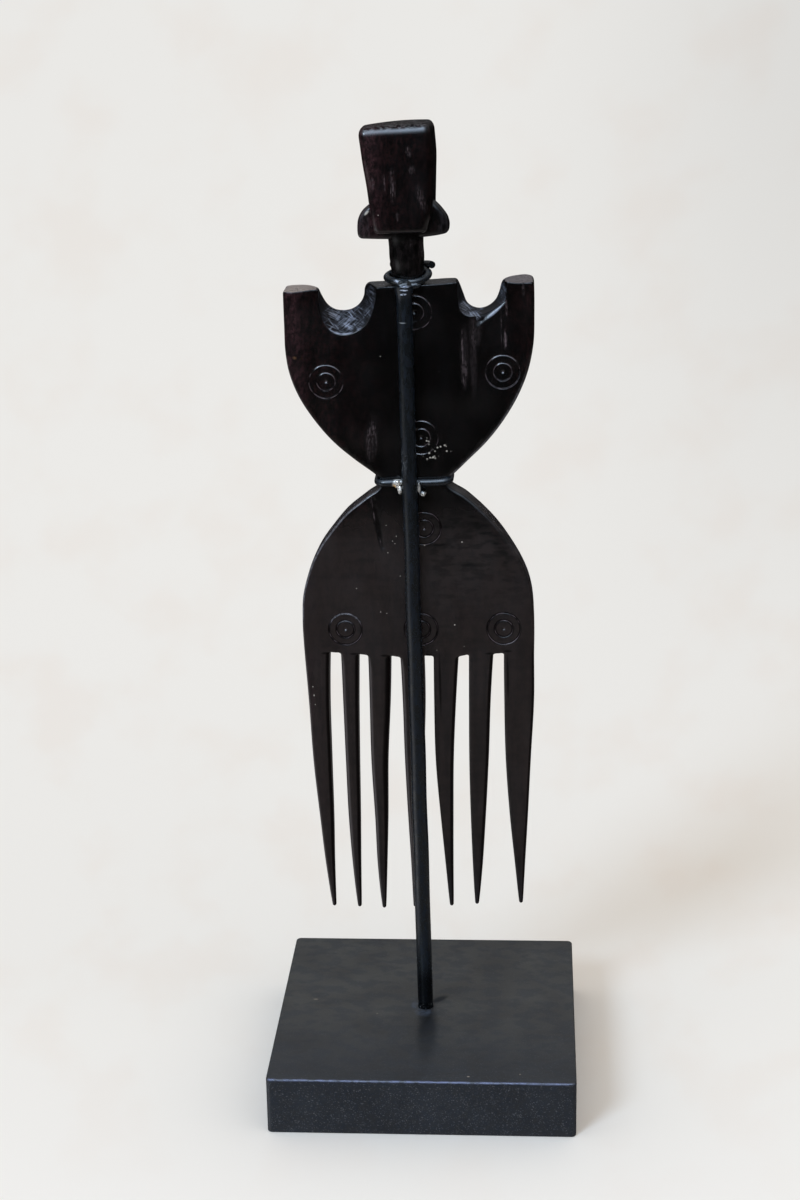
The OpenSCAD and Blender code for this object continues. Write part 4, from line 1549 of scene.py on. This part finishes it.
@dataclass
class EarPlate(Plate):
    """Half-round plate behind the slab's foot."""

    near: float = 3.55
    far: float = 9.55

    @staticmethod
    def carved() -> "EarPlate":
        """The plate with its rounded ears and flat foot.

        Returns:
            The plate.
        """
        step, rim = 0.6, 0.9
        over = (
            (6.8, 217.9), (3.5, 220.4), (-1.0, 221.5), (-5.5, 220.4), (-9.2, 217.2), (-10.8, 215.8),
            (-11.8, 214.0), (-12.1, 212.0), (-11.95, 209.35),
        )
        foot = (
            (-11.95, 209.35), (-8.0, 209.15), (-4.8, 209.05), (0.0, 209.05), (4.2, 209.4), (8.3, 209.9),
            (10.0, 210.3),
        )
        right = ((10.0, 210.3), (10.35, 212.0), (10.0, 213.9), (8.8, 215.8), (6.8, 217.9))
        runs = [
            Run(over, spacing=step, rim=rim, corner=1.1, belly=0.2),
            Run(foot, spacing=step, rim=rim, corner=0.7, belly=0.1),
            Run(right, spacing=step, rim=rim, belly=0.2),
        ]
        return EarPlate(Outline.through(runs))

    def near_level(self, spot: np.ndarray) -> np.ndarray:
        """Depth of the near face, slightly crowned."""
        return self.near + 0.05 * waves(spot, 7.0, 5, 3)

    def far_level(self, spot: np.ndarray) -> np.ndarray:
        """Depth of the far face."""
        return self.far + 0.05 * waves(spot, 7.0, 5, 4)

    def spots(self, loop: np.ndarray, near: bool) -> np.ndarray:
        """An even grid."""
        grid = hex_grid(loop.min(0), loop.max(0), 0.8)
        return grid[inside(grid, loop, 0.35)]


def rounded_loops(
    half_x: np.ndarray, half_y: np.ndarray, corner: np.ndarray, bend: int, run: int
) -> np.ndarray:
    """Rounded rectangles about the origin, one to each row of half sizes.

    Every loop goes round against the clock: four quarter circles of the corner radius, about centres that lie
    the radius inside the corners, and between them evenly spaced points on the straight sides.

    Args:
        half_x: half the size in x of each loop.
        half_y: half the size in y.
        corner: the corner radius.
        bend: points on each quarter circle.
        run: points on each straight side.

    Returns:
        Points as loops by columns by two.
    """
    turn = np.radians(np.linspace(0.0, 90.0, bend) + 90.0 * np.arange(4)[:, None])
    signs = np.array([[1, 1], [-1, 1], [-1, -1], [1, -1]], float)
    core = np.stack([half_x - corner, half_y - corner], -1)[:, None] * signs
    arcs = core[:, :, None] + corner[:, None, None, None] * np.stack([np.cos(turn), np.sin(turn)], -1)
    last, following = arcs[:, :, -1:], np.roll(arcs[:, :, :1], -1, axis=1)
    t = np.linspace(0.0, 1.0, run + 2)[1:-1, None]
    return np.concatenate([arcs, last + (following - last) * t], 2).reshape(len(half_x), -1, 2)


@dataclass
class HeadSlab:
    """Upright block at the comb's head: narrower at its foot, with a top that rises to the far right."""

    near: float = -0.1
    far: float = 12.35
    foot_z: float = 210.9
    top_z: float = 236.5
    left: Knots = (
        (210.9, -7.9), (214.5, -8.45), (219.4, -9.1), (225.1, -9.75), (230.9, -10.4), (235.2, -10.95),
        (236.8, -11.0),
    )
    right: Knots = (
        (210.9, 5.5), (214.5, 6.75), (219.4, 7.25), (225.1, 7.5), (229.5, 7.6), (233.5, 7.3), (236.8, 7.0),
    )
    rim: float = 2.2
    foot_rim: float = 1.1
    slim: float = 0.55
    corner: float = 1.7
    caps: int = 12

    def shell(self) -> Shell:
        """The closed surface: rounded rectangles from the foot to the top, both ends closed.

        Each stands at its height with half sizes from the two side lines, less the inset of the end's quarter
        circle. The end loops shrink to the middle, and everything is then shaped.

        Returns:
            The surface.
        """
        bend = np.radians(np.linspace(0.0, 90.0, 9))
        heights = np.concatenate([
            self.foot_z + self.foot_rim * (1 - np.cos(bend)),
            np.linspace(self.foot_z + self.foot_rim, self.top_z - self.rim, 34)[1:-1],
            self.top_z - self.rim * (1 - np.sin(bend)),
        ])
        inset = np.concatenate([
            self.foot_rim * (1 - np.sin(bend)), np.zeros(32), self.rim * (1 - np.cos(bend)),
        ])
        left, right = (np.interp(heights, *dense_curve(line).T) for line in (self.left, self.right))
        half_x, half_y = (right - left) / 2 - self.slim * inset, (self.far - self.near) / 2 - inset
        ring = rounded_loops(half_x, half_y, np.maximum(self.corner - 0.6 * inset, 0.35), 9, 22)
        shrink = np.linspace(1.0, 0.0, self.caps + 1)[1:-1, None, None]
        ring = np.concatenate([ring[:1] * shrink[::-1], ring, ring[-1:] * shrink])
        order = np.clip(np.arange(len(ring)) - self.caps + 1, 0, len(heights) - 1)
        points = np.stack([
            ring[..., 0] + ((left + right) / 2)[order, None], ring[..., 1] + (self.near + self.far) / 2,
            np.broadcast_to(heights[order, None], ring.shape[:2]),
        ], -1)
        made = Shell()
        index = made.add(self.shaped(points))
        made.band(index)
        ends = np.array([[(left[k] + right[k]) / 2, (self.near + self.far) / 2, heights[k]] for k in (0, -1)])
        made.ends(index, *self.shaped(ends))
        return made

    def shaped(self, points: np.ndarray) -> np.ndarray:
        """Tilts the top, narrows the near right side and makes every side a little uneven.

        The top's height changes with the depth and the place from left to right, over the upper third.

        Args:
            points: x, y, z of the plain slab.

        Returns:
            The moved points in the same shape.
        """
        x, y, z = points[..., 0], points[..., 1], points[..., 2]
        up = ease(z, 226.0, 236.0)
        back = np.clip((y - self.near) / (self.far - self.near), 0.0, 1.0)
        across = np.clip((x + 11.0) / 18.5, 0.0, 1.0)
        lift = back * (-0.6 + 3.1 * across - 2.55 * across**2) + 0.65 * across
        tuck = (1 - back) * ease(x, 0.0, 7.0) * 0.7
        swell = 0.06 * waves(points.reshape(-1, 3), 9.0, 6, 21).reshape(x.shape)
        bulge = 0.25 * (1 - back) * (1 - ((x + 1.8) / 9.0) ** 2)
        return np.stack([x - tuck + swell, y + 0.6 * swell - bulge + 0.25 * (1 - back), z + up * lift], -1)


def tube(path: np.ndarray, radius: np.ndarray, columns: int, side: Sizes, closed: bool = False) -> Shell:
    """A round bar along a path.

    Ring i stands on path point i, square to the path's direction, and its first column looks along the part
    of side that is square to it.

    Args:
        path: the middle line's points.
        radius: the bar's radius at each point.
        columns: points round the bar.
        side: a direction that the path never follows.
        closed: True for a path that comes back to its start.

    Returns:
        The closed surface.
    """
    along = np.roll(path, -1, 0) - np.roll(path, 1, 0) if closed else np.gradient(path, axis=0)
    along /= np.linalg.norm(along, axis=1, keepdims=True)
    first = np.asarray(side, float) - (along @ np.asarray(side, float))[:, None] * along
    first /= np.linalg.norm(first, axis=1, keepdims=True)
    second = np.cross(along, first)
    turn = np.linspace(0.0, 2 * np.pi, columns, endpoint=False)
    ring = first[:, None] * np.cos(turn)[None, :, None] + second[:, None] * np.sin(turn)[None, :, None]
    points = path[:, None] + ring * radius[:, None, None]
    made = Shell()
    index = made.add(points)
    if closed:
        made.band(np.concatenate([index, index[:1]]))
        return made
    made.band(index)
    made.ends(index, path[0], path[-1])
    return made


def blob(centre: Sizes, sizes: Sizes, lumps: float, seed: int) -> Shell:
    """A lump of weld: a sphere stretched to its sizes and swollen by waves, with closed poles.

    Args:
        centre: the middle.
        sizes: half sizes along x, y and z.
        lumps: how far the waves swell it, as a share of its size.
        seed: start of the waves' random row.

    Returns:
        The closed surface.
    """
    tilt = np.linspace(0.0, np.pi, 26)[1:-1, None]
    turn = np.linspace(0.0, 2 * np.pi, 40, endpoint=False)[None]
    ball = np.stack([
        np.sin(tilt) * np.cos(turn), np.sin(tilt) * np.sin(turn), -np.cos(tilt) * np.ones_like(turn),
    ], -1)
    ends = np.array([[0.0, 0.0, -1.0], [0.0, 0.0, 1.0]])
    shaped = [
        part * np.array(sizes) * (1 + lumps * waves(part * np.array(sizes), 1.4, 6, seed))[..., None] + centre
        for part in (ball, ends)
    ]
    made = Shell()
    index = made.add(shaped[0])
    made.band(index)
    made.ends(index, *shaped[1])
    return made


@dataclass
class CarvedComb:
    """The comb, all one piece of wood: blade, neck, ear plate and head slab."""

    finish: OiledEbony = field(default_factory=OiledEbony)
    neck_x: float = -0.33
    neck_y: float = 6.15
    neck_r: float = 4.37
    neck_flat: float = 0.92

    def neck(self) -> Shell:
        """Round neck, whittled a little uneven, from inside the shield to inside the slab.

        Returns:
            The closed surface.
        """
        z = np.linspace(195.5, 213.5, 40)
        path = np.stack([self.neck_x - 0.03 * (z - 207), np.full(len(z), self.neck_y), z], -1)
        radius = self.neck_r - 0.27 * ease(z, 207.0, 200.0) + 0.05 * waves(z[:, None], 6.0, 4, 8)
        made = tube(path, radius, 48, (1, 0, 0))
        flat, middle = (1.0, self.neck_flat, 1.0), path.mean(0)
        made.points = [(part - middle) * flat + middle for part in made.points]
        return made

    def build(self) -> bpy.types.Object:
        """Fuses the blade, the neck, the ears and the slab.

        Returns:
            The one piece.
        """
        across = STAND.comb_x
        body = Blade.carved().shell().object("carved_comb", across)
        parts = [
            self.neck().object("neck", across), EarPlate.carved().shell().object("ears", across),
            HeadSlab().shell().object("slab", across),
        ]
        return combine(body, parts, "UNION")

    def dress(self, piece: bpy.types.Object) -> None:
        """Shades the comb and gives it its wood."""
        smooth(piece, 38.0)
        put_in_place(piece, "comb", self.finish.material())


@dataclass(frozen=True)
class Arm:
    """One arm of the neck loop: its knots' turns about the neck in degrees, distances from it and heights."""

    turns: tuple[float, ...]
    radii: tuple[float, ...]
    heights: tuple[float, ...]


LEFT_ARM = Arm(
    (-90, -125, -180, -225, -270, -305, -346), (5.2, 5.2, 5.2, 5.2, 5.5, 6.0, 6.15),
    (198.8, 199.05, 199.4, 200.0, 200.9, 201.6, 201.95),
)
RIGHT_ARM = Arm(
    (-100, -55, 0, 45, 90, 120, 139), (5.2, 5.15, 5.15, 5.15, 5.3, 5.3, 5.4),
    (198.8, 199.0, 200.0, 200.7, 201.2, 201.7, 202.1),
)


@dataclass(frozen=True)
class Weld:
    """A drop of weld: its middle, half sizes, lumpiness and the start of its random row."""

    centre: Sizes
    sizes: Sizes
    lumps: float
    seed: int


WELDS = (
    Weld((0.0, 0.0, 198.1), (2.0, 1.85, 1.6), 0.07, 41),
    Weld((2.2, 0.7, 198.1), (1.9, 0.9, 0.85), 0.06, 45),
    Weld((-3.15, 0.1, 147.8), (0.8, 0.8, 1.05), 0.09, 42),
    Weld((-2.45, 0.1, 146.3), (0.75, 0.8, 1.2), 0.09, 46),
    Weld((2.35, 0.3, 146.9), (0.65, 0.85, 1.6), 0.09, 43),
    Weld((3.2, 0.2, 145.3), (0.95, 0.8, 0.7), 0.08, 44),
)


@dataclass
class StandHolder:
    """Steel rod with a wire loop for the comb's neck and one for its waist, all welded together."""

    finish: BlackedSteel = field(default_factory=BlackedSteel)
    rod_r: float = 1.95
    wire_r: float = 0.9
    rod_top: float = 198.2
    foot: float = 11.9
    neck_at: tuple[float, float] = (0.75, 6.15)
    waist_at: tuple[float, float] = (0.9, 5.8)
    waist_z: float = 147.9
    waist_half: tuple[float, float] = (9.2, 4.75)
    waist_bend: float = 2.2
    bead_r: float = 1.98
    bead_foot: float = 0.16
    bead_span: tuple[float, float] = (0.1, 1.2)
    rod_columns: int = 40
    wire_columns: int = 20

    def rod(self) -> Shell:
        """The upright, a little wavy from being straightened by hand, with thicker paint on its lower half.

        Returns:
            The closed surface.
        """
        z = np.linspace(-self.foot, self.rod_top, 260)
        off = ease(z, 0.0, 20.0) * 0.07
        path = np.stack([off * waves(z[:, None], 40.0, 4, 2), off * waves(z[:, None], 50.0, 4, 3), z], -1)
        radius = self.rod_r + 0.45 * ease(z, 194.0, 198.0) ** 2
        radius = radius + 0.12 * ease(z, 0.3, 3.0) * ease(z, 110.0, 40.0)
        return tube(path, radius, self.rod_columns, (1, 0, 0))

    def wire(self, arm: Arm) -> Shell:
        """The wire of one arm of the neck loop, on a smooth line through its knots.

        Args:
            arm: the arm's knots about the neck.

        Returns:
            The closed surface.
        """
        turn = np.radians(arm.turns)
        across = self.neck_at[0] + arm.radii * np.cos(turn)
        back = self.neck_at[1] + arm.radii * np.sin(turn)
        path = walk(dense_curve(np.stack([across, back, np.array(arm.heights)], -1)), 0.0, 0.0, 90)
        return tube(path, np.full(len(path), self.wire_r), self.wire_columns, (0, 0, 1))

    def waist_loop(self) -> Shell:
        """Level loop round the waist: straight runs and four tight bends, bent a little by hand.

        Returns:
            The closed surface.
        """
        (half_x, half_y), bend = self.waist_half, self.waist_bend
        turn = np.radians(np.linspace(0.0, 90.0, 9))
        quarter = np.stack([np.cos(turn), np.sin(turn)], -1) * bend
        corners = []
        for k, (sx, sy) in enumerate(((1, 1), (-1, 1), (-1, -1), (1, -1))):
            c, s = math.cos(k * math.pi / 2), math.sin(k * math.pi / 2)
            spun = quarter @ np.array([[c, s], [-s, c]])
            corners.append(spun + (sx * (half_x - bend), sy * (half_y - bend)))
        ring = np.concatenate(corners)
        ring = walk(np.concatenate([ring, ring[:1]]), 0.0, 0.0, 161)[:-1]
        z = self.waist_z + 0.12 * waves(ring, 12.0, 4, 6)
        path = np.stack([ring[:, 0] + self.waist_at[0], ring[:, 1] + self.waist_at[1], z], -1)
        return tube(path, np.full(len(path), self.wire_r), self.wire_columns, (0, 0, 1), closed=True)

    def bead(self) -> Shell:
        """The ring of paint at the rod's foot: a cone that widens downwards.

        Returns:
            The closed surface.
        """
        low, high = self.bead_span
        z = np.linspace(low, high, 12)
        radius = self.bead_r + self.bead_foot * (1 - (z - low) / (high - low))
        return tube(np.stack([0 * z, 0 * z, z], -1), radius, self.rod_columns, (1, 0, 0))

    def build(self) -> bpy.types.Object:
        """Fuses the rod, the two loops, the welds and the bead of paint.

        Returns:
            The welded piece.
        """
        welds = [blob(weld.centre, weld.sizes, weld.lumps, weld.seed) for weld in WELDS]
        shells = [self.wire(LEFT_ARM), self.wire(RIGHT_ARM), self.waist_loop(), *welds, self.bead()]
        parts = [shell.object("part_%d" % i, 0.0) for i, shell in enumerate(shells)]
        return combine(self.rod().object("welded_holder", 0.0), parts, "UNION")

    def dress(self, piece: bpy.types.Object) -> None:
        """Shades the holder and gives it its painted steel."""
        smooth(piece, 40.0)
        put_in_place(piece, "stand_holder", self.finish.material())


@dataclass
class StandBase:
    """Square block with slightly rounded edges and a bore for the rod's foot."""

    finish: MattBlackPaint = field(default_factory=MattBlackPaint)
    half: float = 40.0
    height: float = 15.5
    rim: float = 0.4
    side: float = 1.4
    bore_r: float = 2.05
    bore_deep: float = 12.0

    def block(self) -> Shell:
        """The block: rings of rounded squares from the underside to the top, both ends closed.

        Returns:
            The closed surface.
        """
        bend = np.radians(np.linspace(0.0, 90.0, 6))
        inset = np.concatenate([
            self.rim * 0.6 * (1 - np.sin(bend)), np.zeros(8), self.rim * (1 - np.cos(bend)),
        ])
        z = np.concatenate([
            self.rim * 0.6 * (1 - np.cos(bend)), np.linspace(0.4, self.height - self.rim, 10)[1:-1],
            self.height - self.rim * (1 - np.sin(bend)),
        ])
        ring = rounded_loops(self.half - inset, self.half - inset, self.side - inset, 8, 32)
        caps = np.linspace(1.0, 0.0, 9)[1:-1, None, None]
        ring = np.concatenate([ring[:1] * caps[::-1], ring, ring[-1:] * caps])
        z = np.concatenate([np.zeros(7), z, np.full(7, self.height)])
        points = np.concatenate([ring, np.broadcast_to(z[:, None, None], (*ring.shape[:2], 1))], -1)
        made = Shell()
        index = made.add(points)
        made.band(index)
        made.ends(index, (0.0, 0.0, 0.0), (0.0, 0.0, self.height))
        return made

    def build(self) -> bpy.types.Object:
        """Cuts the bore into the block.

        Returns:
            The block with its bore.
        """
        z = np.array([-self.bore_deep, -self.bore_deep / 2, 0.0, 4.0])
        bore = tube(np.stack([0 * z, 0 * z, z], -1), np.full(len(z), self.bore_r), 48, (1, 0, 0))
        return combine(self.block().object("painted_base"), [bore.object("bore", 0.0)], "DIFFERENCE")

    def dress(self, piece: bpy.types.Object) -> None:
        """Shades the base and gives it its paint."""
        smooth(piece, 40.0)
        put_in_place(piece, "stand_base", self.finish.material())


@dataclass(frozen=True)
class Glow:
    """A bright patch in the dark room: where it lies, how tight it is, its strength and its colour."""

    axis: Sizes
    tight: float
    strength: float
    colour: tuple[float, float, float, float]


GLOWS = (
    Glow((-0.05, -0.56, 0.83), 9.0, 7.8, (0.7, 0.9, 1.16, 1.0)),
    Glow((-0.49, -0.655, 0.574), 40.0, 2.0, (0.8, 0.93, 1.1, 1.0)),
    Glow((-0.9, -0.35, -0.38), 16.0, 1.3, (0.97, 0.99, 1.03, 1.0)),
)


@dataclass
class Studio:
    """The pale floor, the soft window light and the camera of the photograph."""

    paper: PalePaper = field(default_factory=PalePaper)
    eye: Sizes = (28.686, -536.774, 309.203)
    yaw: float = -3.6502
    pitch: float = 18.1928
    roll: float = 1.0272
    lens: float = 66.03
    key_from: Sizes = (-0.49, -0.655, 0.574)
    key_strength: float = 1.48
    key_angle: float = 18.0
    key_colour: Sizes = (0.63, 0.81, 1.0)
    floor_z: float = -0.05
    behind: str = "#e4e0da"

    def floor(self) -> bpy.types.Object:
        """A round sheet, eight metres in radius, in rings that widen outwards.

        Returns:
            The sheet.
        """
        radii = np.geomspace(20.0, 8000.0, 30)
        turn = np.linspace(0.0, 2 * np.pi, 96, endpoint=False)
        grid = np.stack([np.cos(turn), np.sin(turn), 0 * turn], -1) * radii[:, None, None]
        grid[..., 2] = self.floor_z
        made = Shell()
        index = made.add(grid)
        made.band(index)
        made.ends(index, (0.0, 0.0, self.floor_z), None)
        sheet = made.object("floor")
        sheet.data.materials.append(self.paper.material())
        sheet.visible_glossy = False
        return sheet

    def camera(self) -> None:
        """The camera whose place was worked out from the base's corners in the photograph."""
        yaw, pitch, roll = (math.radians(v) for v in (self.yaw, self.pitch, self.roll))
        forward = Vector((math.sin(yaw) * math.cos(pitch), math.cos(yaw) * math.cos(pitch), -math.sin(pitch)))
        right = Vector((math.cos(yaw), -math.sin(yaw), 0.0))
        down = forward.cross(right)
        across = math.cos(roll) * right + math.sin(roll) * down
        below = -math.sin(roll) * right + math.cos(roll) * down
        data = bpy.data.cameras.new("camera")
        data.lens, data.sensor_width, data.clip_start, data.clip_end = self.lens, 36.0, 0.05, 60.0
        made = bpy.data.objects.new("camera", data)
        turned = Matrix((across, -below, -forward)).transposed().to_4x4()
        made.matrix_world = Matrix.Translation(Vector(self.eye) * MM) @ turned
        bpy.context.scene.collection.objects.link(made)
        bpy.context.scene.camera = made

    def key(self) -> None:
        """Broad window light from the front left, which leaves a soft shadow at the back right."""
        data = bpy.data.lights.new("window", "SUN")
        data.energy, data.angle, data.color = self.key_strength, math.radians(self.key_angle), self.key_colour
        made = bpy.data.objects.new("window", data)
        made.rotation_mode = "QUATERNION"
        made.rotation_quaternion = Vector(self.key_from).to_track_quat("Z", "Y")
        bpy.context.scene.collection.objects.link(made)

    def room(self) -> None:
        """The room: even light for matt surfaces, and for shiny ones a dark room with bright patches."""
        world = bpy.data.worlds.new("room")
        bpy.context.scene.world = world
        world.use_nodes = True
        world.cycles.sampling_method = "NONE"
        g = Graph(world.node_tree)
        heading = g.add("TexCoord", out="Generated")
        z = g.add("SeparateXYZ", {0: heading}, out=2)
        low = g.sum(
            g.step(z, -0.295, -0.36, 0.004, 0.27), g.step(z, -0.42, -0.52, 0.0, -0.16),
            g.step(z, -0.6, -0.75, 0.0, 0.3),
        )
        low = g.times(low, g.step(z, 0.03, -0.05))
        high = g.sum(g.step(z, 0.05, 0.45, 0.06, 0.28), g.step(z, 0.6, 0.95, 0.0, 0.7))
        high = g.times(high, g.step(z, -0.02, 0.1))
        glow = g.sum(low, high)
        warm, cool = (1.0, 0.95, 0.92, 1.0), (0.95, 0.99, 1.05, 1.0)
        shine = g.add("Mix", {0: g.step(z, -0.1, 0.4), 6: warm, 7: cool}, out=2, data_type="RGBA")
        base = g.add("Background", {"Color": shine, "Strength": glow})
        for patch in GLOWS:
            unit = tuple(Vector(patch.axis).normalized())
            close = g.add("VectorMath", {0: heading, 1: unit}, out="Value", operation="DOT_PRODUCT")
            power = g.times(g.sum(close, -1.0), patch.tight)
            lobe = g.times(g.add("Math", {0: math.e, 1: power}, operation="POWER"), patch.strength)
            lobe = g.times(lobe, g.step(z, 0.0, 0.3) if patch.axis[2] > 0 else g.step(z, -0.22, -0.4))
            bright = g.add("Background", {"Color": patch.colour, "Strength": lobe})
            base = g.add("AddShader", {0: base, 1: bright})
        even = g.add("Background", {"Color": (0.83, 0.78, 0.73, 1.0), "Strength": 1.0})
        seen = g.add("Background", {"Color": linear(self.behind), "Strength": 1.0})
        shiny = g.add("LightPath", out="Is Glossy Ray")
        direct = g.add("LightPath", out="Is Camera Ray")
        lit = g.add("MixShader", {0: shiny, 1: even, 2: base})
        g.finish(g.add("MixShader", {0: direct, 1: lit, 2: seen}), "OutputWorld")

    def build(self) -> None:
        """Puts the floor, the lights and the camera in the scene."""
        self.floor()
        self.camera()
        self.key()
        self.room()
        bpy.context.scene.view_settings.view_transform = "Standard"


def main() -> None:
    """Builds the stage, then each piece in order."""
    logging.basicConfig(level=logging.INFO, format="%(name)s: %(message)s")
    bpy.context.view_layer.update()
    Studio().build()
    for part in (StandBase(), StandHolder(), CarvedComb()):
        part.dress(part.build())


if __name__ == "__main__":
    main()
